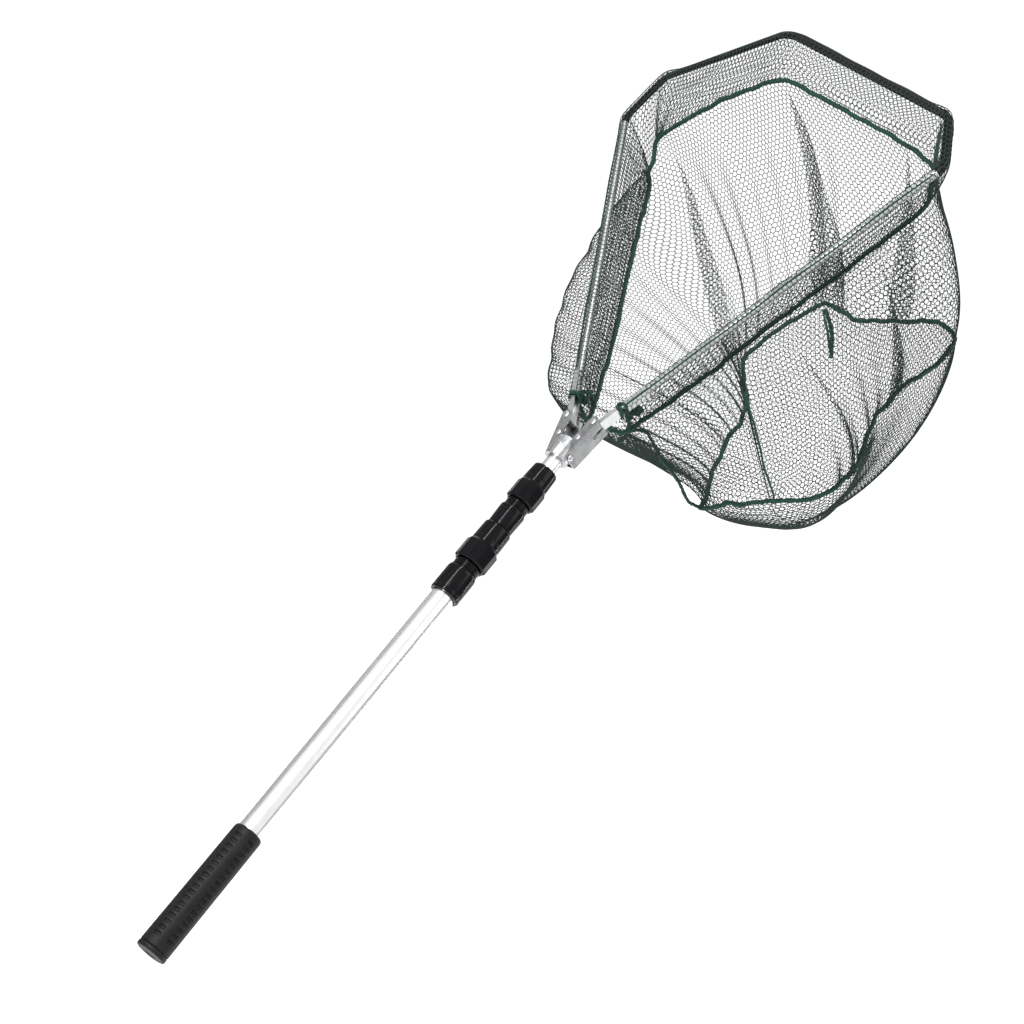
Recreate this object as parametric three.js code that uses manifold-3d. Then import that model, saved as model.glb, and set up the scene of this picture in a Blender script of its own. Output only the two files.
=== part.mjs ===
// Folding landing net with a three-section telescopic handle, in millimetres, +Z up.
// The handle rises towards +X in the XZ plane, the hoop is symmetric about Y = 0 and its mouth faces up
// and back over the handle; the net hangs down from the hoop. The origin is on the handle's axis at the
// middle of the grip, where a hand holds it.
import * as THREE from "three";
import { mergeVertices } from "three/addons/utils/BufferGeometryUtils.js";
import Module from "manifold-3d";

const wasm = await Module();
wasm.setup();

// ---------- driving dimensions ----------
const HANDLE_RISE = 35.65; // degrees from level to the handle's axis
const HOOP_CRANK = 6.71; // degrees that the bracket tips the hoop up from the handle's axis
const GRIP_MID = 72; // from the butt to the origin, along the handle
const HEAD_AT = 677.3; // from the butt to the hoop's own origin, between the arm pivots

const TUBE_OUTER = { r: 12.5, wall: 1.3, from: 6, to: 462 };
const TUBE_MIDDLE = { r: 10.5, wall: 1.2, from: 28, to: 545 };
const TUBE_INNER = { r: 8.5, wall: 1.2, from: 60, to: 641 };
const GRIP = { rButt: 15.9, rFront: 15.1, bore: 12.85, from: 5.4, to: 144 };
const SEG = 24;

const PIVOT_V = 19; // half the distance between the two arm pivots
const ARM_ANGLE = 28; // degrees from the hoop's axis to each open arm
const ARM_LENGTH = 416.3; // from pivot to the arm tube's far end
const ARM_R = 4; // arm tube radius
const CORNER = [431.1, 194.0, 7.3]; // front corner: along the hoop, to the side, towards the mouth side
const APEX = [459.7, 0, 67.7]; // middle of the front bow
const BOW_W = 9; // front bow, across
const BOW_T = 4.4; // front bow, thickness
const CORNER_R = 15;
const APEX_R = 46;

const HEM_T = 2.6;
const NET_T = 3.2;
const SEAM_R = 2.3; // seam cord radius
const NET_MID_X = 690; // the net's middle, along X

const RAD = Math.PI / 180;

// ---------- helpers ----------
// A geometry as a manifold solid, whichever way its faces wind.
function solid(geometry) {
  const g = geometry.index ? geometry.toNonIndexed() : geometry.clone();
  g.deleteAttribute("normal");
  g.deleteAttribute("uv");
  const m = mergeVertices(g, 1e-3);
  const idx = m.index.array;
  const tri = [];
  for (let i = 0; i < idx.length; i += 3)
    if (idx[i] !== idx[i + 1] && idx[i + 1] !== idx[i + 2] && idx[i] !== idx[i + 2])
      tri.push(idx[i], idx[i + 1], idx[i + 2]);
  const build = (t) =>
    new wasm.Manifold(
      new wasm.Mesh({
        numProp: 3,
        vertProperties: new Float32Array(m.attributes.position.array),
        triVerts: new Uint32Array(t),
      }),
    );
  const made = build(tri);
  if (made.volume() >= 0) return made;
  const back = [];
  for (let i = 0; i < tri.length; i += 3) back.push(tri[i], tri[i + 2], tri[i + 1]);
  return build(back);
}

function toGeometry(s) {
  const mesh = s.getMesh();
  const n = mesh.numProp;
  const v = new Float32Array(mesh.numVert * 3);
  for (let i = 0; i < mesh.numVert; i++)
    v.set(mesh.vertProperties.subarray(i * n, i * n + 3), i * 3);
  const g = new THREE.BufferGeometry();
  g.setAttribute("position", new THREE.BufferAttribute(v, 3));
  g.setIndex(new THREE.BufferAttribute(new Uint32Array(mesh.triVerts), 1));
  const flat = g.toNonIndexed();
  flat.computeVertexNormals();
  return flat;
}

// A solid of revolution about Z from points [radius, z]; a profile off the axis is closed on itself.
function lathe(points, seg = SEG, turn = 0) {
  const p = points.map(([r, z]) => new THREE.Vector2(r, z));
  const onAxis = points[0][0] === 0 && points[points.length - 1][0] === 0;
  if (!onAxis) p.push(p[0].clone());
  const g = new THREE.LatheGeometry(p, seg, turn);
  g.rotateX(Math.PI / 2);
  return solid(g);
}

const ring = (rIn, rOut, a, b, seg = SEG) =>
  lathe(
    [
      [rIn, a],
      [rOut, a],
      [rOut, b],
      [rIn, b],
    ],
    seg,
  );

function box(x0, x1, y0, y1, z0, z1) {
  const g = new THREE.BoxGeometry(x1 - x0, y1 - y0, z1 - z0);
  g.translate((x0 + x1) / 2, (y0 + y1) / 2, (z0 + z1) / 2);
  return solid(g);
}

// A plate: outline of [u, v] points, between two heights w. Local axes are x = w, y = v, z = u.
function plate(outline, w0, w1) {
  const s = new THREE.Shape(outline.map(([u, v]) => new THREE.Vector2(u, v)));
  const g = new THREE.ExtrudeGeometry(s, { depth: w1 - w0, bevelEnabled: false, curveSegments: 12 });
  g.translate(0, 0, w0);
  const m = new THREE.Matrix4().set(0, 0, 1, 0, 0, 1, 0, 0, 1, 0, 0, 0, 0, 0, 0, 1);
  g.applyMatrix4(m);
  return solid(g);
}

// A pin along local x (the hoop's normal) at (u, v), as a turned profile of [radius, w].
function pinAt(profile, u, v, seg = 18) {
  const p = profile.map(([r, w]) => new THREE.Vector2(r, w));
  const g = new THREE.LatheGeometry(p, seg);
  g.rotateZ(-Math.PI / 2); // lathe axis Y to X
  g.translate(0, v, u);
  return solid(g);
}

class Polyline extends THREE.Curve {
  constructor(points, closed = false) {
    super();
    this.points = points;
    this.curve = new THREE.CatmullRomCurve3(points, closed, "centripetal");
  }
  getPoint(t, target = new THREE.Vector3()) {
    return this.curve.getPoint(t, target);
  }
}

// A closed surface from a grid of rings: every ring holds the same number of points. closedAround joins the
// last point of each ring to the first, and the first and last rings are then joined to each other.
function loft(rings, closedAround) {
  const n = rings[0].length;
  const pos = [];
  const tri = [];
  const add = (a, b, c) => pos.push(a.x, a.y, a.z, b.x, b.y, b.z, c.x, c.y, c.z);
  const m = rings.length;
  for (let i = 0; i < m; i++) {
    const A = rings[i];
    const B = rings[(i + 1) % m];
    const last = closedAround ? n : n - 1;
    for (let j = 0; j < last; j++) {
      const k = (j + 1) % n;
      add(A[j], A[k], B[k]);
      add(A[j], B[k], B[j]);
    }
  }
  if (!closedAround)
    for (const j of [0, n - 1])
      for (let i = 1; i < m - 1; i++)
        j === 0
          ? add(rings[0][j], rings[i][j], rings[i + 1][j])
          : add(rings[0][j], rings[i + 1][j], rings[i][j]);
  const g = new THREE.BufferGeometry();
  g.setAttribute("position", new THREE.Float32BufferAttribute(pos, 3));
  return solid(g);
}

// A bar of flat oval section swept along points; across is each point's sideways unit vector.
function sweep(points, acrossOf, width, thick, sides = 10) {
  const rings = [];
  const n = points.length;
  const sec = [];
  for (let k = 0; k < sides; k++) {
    const a = (2 * Math.PI * k) / sides;
    sec.push([(width / 2) * Math.cos(a), (thick / 2) * Math.sin(a)]);
  }
  for (let i = 0; i < n; i++) {
    const t = points[Math.min(n - 1, i + 1)].clone().sub(points[Math.max(0, i - 1)]).normalize();
    const a = acrossOf(i, t);
    const up = new THREE.Vector3().crossVectors(t, a).normalize();
    rings.push(
      sec.map(([p, q]) => points[i].clone().addScaledVector(a, p).addScaledVector(up, q)),
    );
  }
  const pos = [];
  const add = (a, b, c) => pos.push(a.x, a.y, a.z, b.x, b.y, b.z, c.x, c.y, c.z);
  for (let i = 0; i < n - 1; i++)
    for (let j = 0; j < sides; j++) {
      const k = (j + 1) % sides;
      add(rings[i][j], rings[i][k], rings[i + 1][k]);
      add(rings[i][j], rings[i + 1][k], rings[i + 1][j]);
    }
  for (let j = 1; j < sides - 1; j++) {
    add(rings[0][0], rings[0][j + 1], rings[0][j]);
    add(rings[n - 1][0], rings[n - 1][j], rings[n - 1][j + 1]);
  }
  const g = new THREE.BufferGeometry();
  g.setAttribute("position", new THREE.Float32BufferAttribute(pos, 3));
  return solid(g);
}

// ---------- materials ----------
const MAT = {
  rubber: { color: 0x16181a, roughness: 0.75, metalness: 0 },
  gloss: { color: 0x0c0d0f, roughness: 0.22, metalness: 0 },
  alu: { color: 0xd4d6d8, roughness: 0.3, metalness: 1 },
  cast: { color: 0xa9abad, roughness: 0.42, metalness: 1 },
  steel: { color: 0xc4c6c8, roughness: 0.3, metalness: 1 },
  nylon: { color: 0xe4e2da, roughness: 0.5, metalness: 0 },
  bow: { color: 0x14160f, roughness: 0.5, metalness: 0 },
  net: { color: 0x37463e, roughness: 0.8, metalness: 0 },
  cord: { color: 0x144434, roughness: 0.8, metalness: 0 },
};

const root = new THREE.Group();
root.name = "landing_net";
const handle = new THREE.Group(); // local z runs up the handle, local x is the side that faces up
const hoop = new THREE.Group(); // local z runs from bracket to apex, x is the mouth's normal, y the right arm's side
const hang = new THREE.Group(); // the net, in the part's own frame
root.add(handle, hoop, hang);

function basis(rise) {
  const c = Math.cos(rise * RAD);
  const s = Math.sin(rise * RAD);
  return new THREE.Matrix4().makeBasis(
    new THREE.Vector3(-s, 0, c),
    new THREE.Vector3(0, -1, 0),
    new THREE.Vector3(c, 0, s),
  );
}
const HH = basis(HANDLE_RISE);
const UU = basis(HANDLE_RISE + HOOP_CRANK);
const headPoint = new THREE.Vector3(0, 0, HEAD_AT - GRIP_MID).applyMatrix4(HH);
handle.applyMatrix4(HH.clone().multiply(new THREE.Matrix4().makeTranslation(0, 0, -GRIP_MID)));
hoop.applyMatrix4(new THREE.Matrix4().makeTranslation(headPoint).multiply(UU));
root.updateMatrixWorld(true);
// a point of the hoop's frame, along, side, up, in the part's frame
const H = (u, v, w) => new THREE.Vector3(w, v, u).applyMatrix4(hoop.matrixWorld);

function put(name, s, mat, parent) {
  const mesh = new THREE.Mesh(toGeometry(s), new THREE.MeshStandardMaterial(mat));
  mesh.name = name;
  parent.add(mesh);
  return mesh;
}

// ---------- handle ----------
const tube = (t) => ring(t.r - t.wall, t.r, t.from, t.to);
put("outer_tube", tube(TUBE_OUTER), MAT.alu, handle);
put("middle_tube", tube(TUBE_MIDDLE), MAT.alu, handle);
put("inner_tube", tube(TUBE_INNER), MAT.alu, handle);

put(
  "butt_cap",
  lathe([
    [0, 0],
    [14.6, 0],
    [GRIP.rButt + 0.1, 1.4],
    [GRIP.rButt + 0.1, 5.0],
    [10.8, 5.0],
    [10.8, 20],
    [9.6, 20],
    [9.6, 7],
    [0, 7],
  ]),
  MAT.rubber,
  handle,
);

{
  // rubber sleeve with two rows of transverse slots on each side of a smooth ridge
  let grip = lathe([
    [GRIP.bore, GRIP.from],
    [GRIP.rButt - 0.2, GRIP.from],
    [GRIP.rButt, GRIP.from + 2],
    [GRIP.rButt - 0.3, GRIP.from + 40],
    [GRIP.rFront, GRIP.to - 4],
    [GRIP.rFront - 1.2, GRIP.to],
    [GRIP.bore, GRIP.to],
  ]);
  put("grip", grip, MAT.rubber, handle);
}

put(
  "lower_ferrule",
  lathe([
    [12.85, 443],
    [15.6, 443],
    [16.1, 444.5],
    [16.1, 472.5],
    [15.4, 474.2],
    [13.3, 474.2],
    [13.3, 475.6],
    [14.2, 475.9],
    [14.2, 476.9],
    [13.3, 477.2],
    [13.3, 478.6],
    [14.2, 478.9],
    [14.2, 479.9],
    [13.3, 480.2],
    [13.3, 481.4],
    [14.2, 481.7],
    [14.2, 482.6],
    [13.3, 482.9],
    [13.3, 500],
    [10.9, 500],
    [10.9, 462.6],
    [12.85, 462.6],
  ]),
  MAT.gloss,
  handle,
);

// split collet: a tapered ring with one slot
function collet(rIn, rOut, a, b) {
  const r = lathe([
    [rIn, a],
    [rOut - 0.5, a],
    [rOut, a + 2],
    [rOut, b - 6],
    [rOut - 0.9, b],
    [rIn, b],
  ]);
  return r.subtract(box(-1.1, 1.1, 0, rOut + 4, a - 1, b + 1));
}
put("lower_collet", collet(10.85, 12.3, 501, 526), MAT.nylon, handle);
put("upper_collet", collet(8.85, 10.3, 576, 604), MAT.nylon, handle);

// twist-lock nut: wide flats at the lower end, smooth collar above, bored to clear thread and collet
function nut(a, mid, b, rFlat, rTop, rTopEnd, rThread, rCollet, rLip, threadTo) {
  const flats = lathe(
    [
      [0, a],
      [rFlat - 1.2, a],
      [rFlat, a + 1.6],
      [rFlat, mid - 1.2],
      [rFlat - 1.3, mid],
      [0, mid],
    ],
    12,
    Math.PI / 12,
  );
  const collar = lathe([
    [0, a + 4],
    [rTop, a + 4],
    [rTop, mid + 4],
    [rTopEnd, b - 0.8],
    [rTopEnd - 0.8, b],
    [0, b],
  ]);
  const bore = lathe([
    [0, a - 1],
    [rThread, a - 1],
    [rThread, threadTo],
    [rCollet, threadTo],
    [rCollet, b - 3.4],
    [rLip, b - 2.2],
    [rLip, b + 1],
    [0, b + 1],
  ]);
  return flats.add(collar).subtract(bore);
}
put(
  "lower_lock_nut",
  nut(483.4, 508, 532, 17.9, 15.6, 15.2, 14.5, 12.7, 10.85, 500.5),
  MAT.gloss,
  handle,
);
put(
  "upper_lock_nut",
  nut(566, 589.5, 611.5, 15.9, 14.3, 13.5, 12.8, 10.7, 8.85, 576.2),
  MAT.gloss,
  handle,
);

put(
  "upper_ferrule",
  lathe([
    [10.85, 532.6],
    [13.2, 532.6],
    [13.4, 534],
    [14.2, 555.4],
    [13.6, 557],
    [11.7, 557],
    [11.7, 558.4],
    [12.5, 558.7],
    [12.5, 559.7],
    [11.7, 560],
    [11.7, 561.3],
    [12.5, 561.6],
    [12.5, 562.6],
    [11.7, 562.9],
    [11.7, 575.6],
    [8.9, 575.6],
    [8.9, 545.6],
    [10.85, 545.6],
  ]),
  MAT.gloss,
  handle,
);

// guide bushes that close the lower ends of the sliding tubes
function bush(rOut, rSpigot, rBore, at) {
  return lathe([
    [rBore, at - 8],
    [rOut - 0.6, at - 8],
    [rOut, at - 7],
    [rOut, at - 0.3],
    [rSpigot, at - 0.3],
    [rSpigot, at + 12],
    [rBore, at + 12],
  ]);
}
put("middle_tube_bush", bush(10.85, 8.95, 3.2, TUBE_MIDDLE.from), MAT.nylon, handle);
put("inner_tube_bush", bush(8.95, 6.95, 2.6, TUBE_INNER.from), MAT.nylon, handle);
// plug that stiffens the inner tube where the bracket is pinned to it, with a through hole for air
{
  const plug = lathe([
    [1.6, 612],
    [7.0, 612],
    [7.0, 640],
    [1.6, 640],
  ]);
  put("inner_tube_plug", plug.subtract(crossBore(2.3, 634)), MAT.nylon, handle);
}

// a bore across the handle, along local y, at distance s from the butt
function crossBore(r, s, half = 30) {
  const g = new THREE.CylinderGeometry(r, r, 2 * half, 20);
  g.translate(0, 0, s);
  return solid(g);
}

// the inner tube is cut for the cross pin too
{
  const old = handle.getObjectByName("inner_tube");
  handle.remove(old);
  put("inner_tube", tube(TUBE_INNER).subtract(crossBore(2.3, 634)), MAT.alu, handle);
}

// ---------- head bracket ----------
// two pressed channels that spread from a socket on the inner tube; each channel holds one arm between its
// flanges on two rivets that run along the hoop's normal
const webV = (u) => 13.8 + (u + 45) * 0.238; // outer face of a side web
{
  const toHoop = new THREE.Matrix4().copy(hoop.matrixWorld).invert().multiply(handle.matrixWorld);
  const inHandle = (s) => s.transform(toHoop.elements);
  let body = plate(
    [
      [-46, webV(-46) - 0.3],
      [-46, -webV(-46) + 0.3],
      [-8, -webV(-8) + 0.3],
      [-2, -webV(-2) + 0.3],
      [5, -webV(0) + 0.3],
      [6.5, -18.5],
      [5, -13],
      [-2, -10.6],
      [-16, -6.5],
      [-16, 6.5],
      [-2, 10.6],
      [5, 13],
      [6.5, 18.5],
      [5, webV(0) - 0.3],
      [-2, webV(-2) - 0.3],
      [-8, webV(-8) - 0.3],
    ].reverse(),
    -10.6,
    -9.0,
  );
  for (const s of [1, -1]) {
    const flip = (o) => (s > 0 ? o : o.map(([u, v]) => [u, -v]).reverse());
    // upper flange with a rounded front end around the pivot rivet
    body = body.add(
      plate(
        flip([
          [-34, webV(-34) - 0.4],
          [-34, 5.5],
          [-22, 8.2],
          [-8, 11.2],
          [0, 12.6],
          [4.4, 14.6],
          [6.4, 18.4],
          [5.2, 21.6],
          [1.6, webV(1.6) - 0.4],
        ]),
        9.0,
        10.6,
      ),
    );
    // side web, cut back in a J at its front lower corner
    body = body.add(
      plate(
        flip([
          [-46, webV(-46) - 1.7],
          [1.6, webV(1.6) - 1.7],
          [1.6, webV(1.6)],
          [-46, webV(-46)],
        ]),
        -10.6,
        10.6,
      ),
    );
    // hull-shaped shoulder that folds each channel down to the socket
    body = body.add(
      plate(
        flip([
          [-49, 3.5],
          [-49, 12.6],
          [-46, webV(-46)],
          [-34, webV(-34) - 0.4],
          [-34, 5.5],
          [-41, 2.2],
        ]),
        3.5,
        10.6,
      ),
    );
    // J slot
    const slot = plate(
      flip([
        [-13, 8],
        [-9, 8],
        [-9, 40],
        [-13, 40],
      ]),
      -3.6,
      1.2,
    ).add(
      plate(
        flip([
          [-12, 8],
          [3, 8],
          [3, 40],
          [-12, 40],
        ]),
        -1.4,
        1.2,
      ),
    );
    body = body.subtract(slot);
  }
  // socket: a cone on the inner tube, in the handle's own frame
  const cone = inHandle(
    lathe([
      [0, 627.5],
      [12.4, 627.5],
      [13.2, 629],
      [13.6, 641],
      [11.6, 652],
      [0, 652],
    ]),
  );
  body = body.add(cone);
  const bore = inHandle(
    lathe([
      [0, 600],
      [8.85, 600],
      [8.85, 645],
      [6, 648],
      [6, 670],
      [0, 670],
    ]),
  );
  body = body.subtract(bore);
  body = body.subtract(inHandle(crossBore(2.3, 634, 30)));
  for (const s of [1, -1]) {
    body = body.subtract(
      pinAt([[0, -20], [2.35, -20], [2.35, 20], [0, 20]], 0, s * PIVOT_V, 18),
    );
    body = body.subtract(
      pinAt([[0, -20], [2.1, -20], [2.1, 20], [0, 20]], -21.4, s * 13.6, 18),
    );
  }
  put("head_bracket", body, MAT.cast, hoop);

  // cross pin through socket, inner tube and plug
  const g = new THREE.LatheGeometry(
    [
      [0, -17],
      [2.6, -17],
      [3.2, -16.4],
      [3.2, -15.5],
      [1.95, -15.5],
      [1.95, 15.5],
      [3.2, 15.5],
      [3.2, 16.4],
      [2.6, 17],
      [0, 17],
    ].map(([r, y]) => new THREE.Vector2(r, y)),
    16,
  );
  g.translate(0, 0, 634);
  put("bracket_cross_pin", solid(g), MAT.steel, handle);
}

const rivet = (r, head, u, v) =>
  pinAt(
    [
      [0, -12.3],
      [head * 0.6, -12.3],
      [head, -11.6],
      [head, -10.95],
      [r, -10.95],
      [r, 10.95],
      [head, 10.95],
      [head, 11.6],
      [head * 0.6, 12.3],
      [0, 12.3],
    ],
    u,
    v,
    14,
  );
for (const [side, s] of [
  ["right", 1],
  ["left", -1],
]) {
  put(side + "_pivot_rivet", rivet(2.0, 3.6, 0, s * PIVOT_V), MAT.steel, hoop);
  put(side + "_channel_rivet", rivet(1.75, 3.2, -21.4, s * 13.6), MAT.steel, hoop);
  // distance sleeve that keeps the channel's flanges apart on the rear rivet
  put(
    side + "_channel_spacer",
    pinAt([[2.1, -8.6], [3.4, -8.6], [3.4, 8.6], [2.1, 8.6], [2.1, -8.6]], -21.4, s * 13.6, 12),
    MAT.steel,
    hoop,
  );
}

// ---------- arms ----------
const A = ARM_ANGLE * RAD;
const armPoint = (s, d, off = 0, w = 0) => {
  // d along the open arm from its pivot, off outwards from the hoop's middle
  const u = d * Math.cos(A) - off * Math.sin(A);
  const v = PIVOT_V + d * Math.sin(A) + off * Math.cos(A);
  return new THREE.Vector3(w, s * v, u);
};
// solids modelled along local z and laid on an arm
function onArm(made, s) {
  const m = new THREE.Matrix4().makeRotationX(-s * A);
  m.premultiply(new THREE.Matrix4().makeTranslation(0, s * PIVOT_V, 0));
  return made.transform(m.elements);
}
for (const [side, s] of [
  ["right", 1],
  ["left", -1],
]) {
  // pressed channel at the arm's root: two cheeks and a back, open towards the hoop's inside
  const outline = [];
  for (let k = 0; k <= 8; k++) {
    const a = Math.PI / 2 + (Math.PI * k) / 8;
    outline.push([5.2 * Math.cos(a), 2.55 * Math.sin(a)]);
  }
  const block = plate(
    [
      [-4.6, -2.0],
      [-4.6, 2.0],
      [-3.2, 2.6],
      [62, 2.6],
      [62, -2.6],
      [-3.2, -2.6],
    ].reverse(),
    -5.6,
    5.6,
  );
  const hollow = plate(
    s > 0
      ? [
          [7, -3],
          [63, -3],
          [63, 1.2],
          [7, 1.2],
        ]
      : [
          [7, -1.2],
          [63, -1.2],
          [63, 3],
          [7, 3],
        ],
    -4.3,
    4.3,
  );
  let channel = block.subtract(hollow);
  channel = channel.subtract(pinAt([[0, -20], [2.35, -20], [2.35, 20], [0, 20]], 0, 0, 18));
  put(side + "_arm_channel", onArm(channel, s), MAT.alu, hoop);
  // arm tube: its flattened foot starts past the channel
  const tubeFrom = 62.5;
  put(
    side + "_arm_tube",
    onArm(ring(ARM_R - 1, ARM_R, tubeFrom, ARM_LENGTH, 20), s),
    MAT.alu,
    hoop,
  );
  // spigot that joins channel and tube
  put(
    side + "_arm_spigot",
    onArm(
      lathe(
        [
          [0, 40],
          [0.01, 40],
          [2.6, 62.8],
          [2.6, 92],
          [0, 92],
        ].slice(0),
        14,
      ),
      s,
    ).intersect(
      onArm(
        box(-2.6, 2.6, s > 0 ? -2.5 : -0.8, s > 0 ? 0.8 : 2.5, 30, 62.8).add(
          box(-3, 3, -3, 3, 62.8, 93),
        ),
        s,
      ),
    ),
    MAT.steel,
    hoop,
  );
}

// ---------- front bow ----------
// a black moulded strip that runs from arm to arm; it bends at the two corners and at the apex when folded
const L3 = (u, v, w) => new THREE.Vector3(w, v, u);
function fillet(p0, p1, p2, r, n) {
  // points of an arc that rounds the corner p1
  const a = p0.clone().sub(p1).normalize();
  const b = p2.clone().sub(p1).normalize();
  const half = a.angleTo(b) / 2;
  const d = r / Math.tan(half);
  const c = a.clone().add(b).normalize().multiplyScalar(r / Math.sin(half)).add(p1);
  const s = p1.clone().addScaledVector(a, d).sub(c);
  const e = p1.clone().addScaledVector(b, d).sub(c);
  const ang = s.angleTo(e);
  const out = [];
  for (let i = 0; i <= n; i++) {
    const t = i / n;
    out.push(
      s
        .clone()
        .multiplyScalar(Math.sin((1 - t) * ang) / Math.sin(ang))
        .add(e.clone().multiplyScalar(Math.sin(t * ang) / Math.sin(ang)))
        .add(c),
    );
  }
  return out;
}
// the straight sides of the bow would meet above the apex, which is rounded down to APEX
function bowPath(s) {
  const a0 = armPoint(s, ARM_LENGTH + 0.3);
  const back = armPoint(s, ARM_LENGTH - 40);
  const corner = L3(CORNER[0], s * CORNER[1], CORNER[2]);
  const peak = L3(APEX[0] + 1.6, 0, APEX[2] + 3.6);
  const other = L3(CORNER[0], -s * CORNER[1], CORNER[2]);
  const bendIn = fillet(back, armPoint(s, ARM_LENGTH + 9), corner, 14, 4);
  const bend = fillet(armPoint(s, ARM_LENGTH + 9), corner, peak, CORNER_R, 8);
  const top = fillet(corner, peak, other, APEX_R, 12);
  return { a0, bendIn, bend, top };
}
for (const [side, s] of [
  ["right", 1],
  ["left", -1],
]) {
  const { a0, bendIn, bend, top } = bowPath(s);
  const split = 4; // the strip is divided in the middle of the corner
  const elbowPts = [a0, ...bendIn, ...bend.slice(0, split + 1)];
  const across = (i, t) => {
    const n = new THREE.Vector3(1, 0, 0);
    return new THREE.Vector3().crossVectors(t, n).normalize();
  };
  const cut = (pts, from, gap) => {
    const q = pts.map((p) => p.clone());
    if (from === "end") {
      const d = q[q.length - 2].clone().sub(q[q.length - 1]).normalize();
      q[q.length - 1].addScaledVector(d, gap);
    } else {
      const d = q[1].clone().sub(q[0]).normalize();
      q[0].addScaledVector(d, gap);
    }
    return q;
  };
  let elbow = sweep(cut(elbowPts, "end", 0.45), across, BOW_W, BOW_T, 12);
  // round root that meets the arm tube, with a spigot inside it
  elbow = elbow.add(
    onArm(
      lathe(
        [
          [0, ARM_LENGTH - 22],
          [2.3, ARM_LENGTH - 22],
          [2.6, ARM_LENGTH - 20],
          [2.6, ARM_LENGTH + 0.4],
          [4.4, ARM_LENGTH + 0.4],
          [4.4, ARM_LENGTH + 5],
          [3.6, ARM_LENGTH + 9],
          [0, ARM_LENGTH + 9],
        ],
        14,
      ),
      s,
    ),
  );
  put(side + "_bow_elbow", elbow, MAT.bow, hoop);
  const mid = (top.length - 1) / 2;
  const barPts = [...bend.slice(split), ...top.slice(0, mid + 1)];
  put(
    side + "_front_bow",
    sweep(cut(cut(barPts, "start", 0.45), "end", 0.25), across, BOW_W, BOW_T, 12),
    MAT.bow,
    hoop,
  );
}

// ---------- net ----------
// The bag hangs from the hoop: a hem of mesh round the hoop, walls below it down to a seam, and a sagging base
// below that. Places along the hoop are given as a share of its length, from the bracket round the left side
// (+Y) to the apex at 0.5 and back along the right side.
const STATIONS = 480;
// base seam: [share, x, y, z]
const BASE_SEAM = [
  [0, 643, -20, 236], [0.05, 672, -4, 246], [0.1, 690, 4, 260], [0.16, 722, 14, 292], [0.22, 744, 13, 305],
  [0.28, 756, 20, 322], [0.33, 764, 34, 344], [0.37, 770, 38, 367], [0.41, 779, 22, 386], [0.45, 793, 2, 404],
  [0.48, 800, -18, 420], [0.51, 806, -40, 436], [0.56, 806, -80, 424], [0.6, 806, -125, 428],
  [0.645, 806, -190, 442], [0.675, 806, -218, 430], [0.7, 790, -212, 402], [0.735, 755, -196, 385],
  [0.775, 727, -180, 352], [0.82, 716, -168, 300], [0.86, 704, -152, 273], [0.9, 664, -130, 265],
  [0.94, 636, -100, 262], [0.97, 630, -60, 252], [1, 643, -20, 236],
];
// hem seam: [share, inwards from the hoop, down from the hoop]
const HEM_SEAM = [
  [0, 4, 24], [0.03, 10, 33], [0.1, 10, 38], [0.2, 12, 42], [0.27, 20, 54], [0.33, 26, 70], [0.38, 16, 62],
  [0.43, 10, 48], [0.5, 8, 45], [0.6, 10, 44], [0.66, 12, 50], [0.69, 15, 36], [0.75, 19, 36], [0.93, 19, 38],
  [0.97, 10, 29], [1, 4, 24],
];
// how far the wall is drawn outwards in its upper and in its lower third: [share, upper, lower]
const WALL_PULL = [
  [0, 0, 0], [0.015, 20, 5], [0.04, 110, 10], [0.08, 175, 20], [0.14, 182, 30], [0.2, 165, 30],
  [0.25, 125, 30], [0.3, 80, 30], [0.34, 50, 20], [0.4, 22, 10], [0.5, 14, 0], [0.6, 10, 8], [0.66, 8, 10],
  [0.7, 30, 20], [0.76, 80, 30], [0.85, 100, 40], [0.93, 60, 25], [0.97, 10, 5], [1, 0, 0],
];
// how far the base bellies past its seam: [share, forwards, down]
const BELLY = [
  [0, 4, 6], [0.2, 0, 6], [0.5, 8, 14], [0.6, 20, 26], [0.66, 30, 30], [0.7, 34, 26], [0.75, 24, 22],
  [0.8, 10, 18], [0.86, 4, 12], [0.93, 2, 8], [1, 4, 6],
];
const BASE_MIDDLE = [742, -46, 203];

// the hoop's centre line as a closed polyline
function hoopLine() {
  const conv = (p) => H(p.z, p.y, p.x);
  const path = bowPath(-1);
  const left = [H(26, 0, -2), H(27, -12, -2)];
  for (const d of [32, 45, 70, 100, 130, 160, 190, 220, 250, 280, 310, 340, 370, 400])
    left.push(conv(armPoint(-1, d)));
  for (const p of [...path.bendIn, ...path.bend]) left.push(conv(p));
  const b = path.bend[path.bend.length - 1];
  for (const k of [0.15, 0.3, 0.45, 0.6, 0.75, 0.9]) left.push(conv(b.clone().lerp(path.top[0], k)));
  for (let i = 0; i <= (path.top.length - 1) / 2; i++) left.push(conv(path.top[i]));
  const right = left.slice(1, -1).map((p) => new THREE.Vector3(p.x, -p.y, p.z));
  return [...left, ...right.reverse()];
}
function fromTable(t, a) {
  const x = ((a % 1) + 1) % 1;
  let i = 1;
  while (t[i][0] < x) i++;
  const k = (x - t[i - 1][0]) / (t[i][0] - t[i - 1][0]);
  return t[i].slice(1).map((v, j) => t[i - 1][j + 1] + k * (v - t[i - 1][j + 1]));
}
function smoothLoop(rows, n) {
  const w = [];
  for (let i = -n; i <= n; i++) w.push(0.5 + 0.5 * Math.cos((Math.PI * i) / (n + 1)));
  const sum = w.reduce((q, v) => q + v, 0);
  return rows.map((_, i) =>
    rows[0].map((__, c) =>
      w.reduce((q, v, j) => q + (v / sum) * rows[(i + j - n + rows.length) % rows.length][c], 0),
    ),
  );
}
const shares = Array.from({ length: STATIONS }, (_, i) => i / STATIONS);
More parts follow.
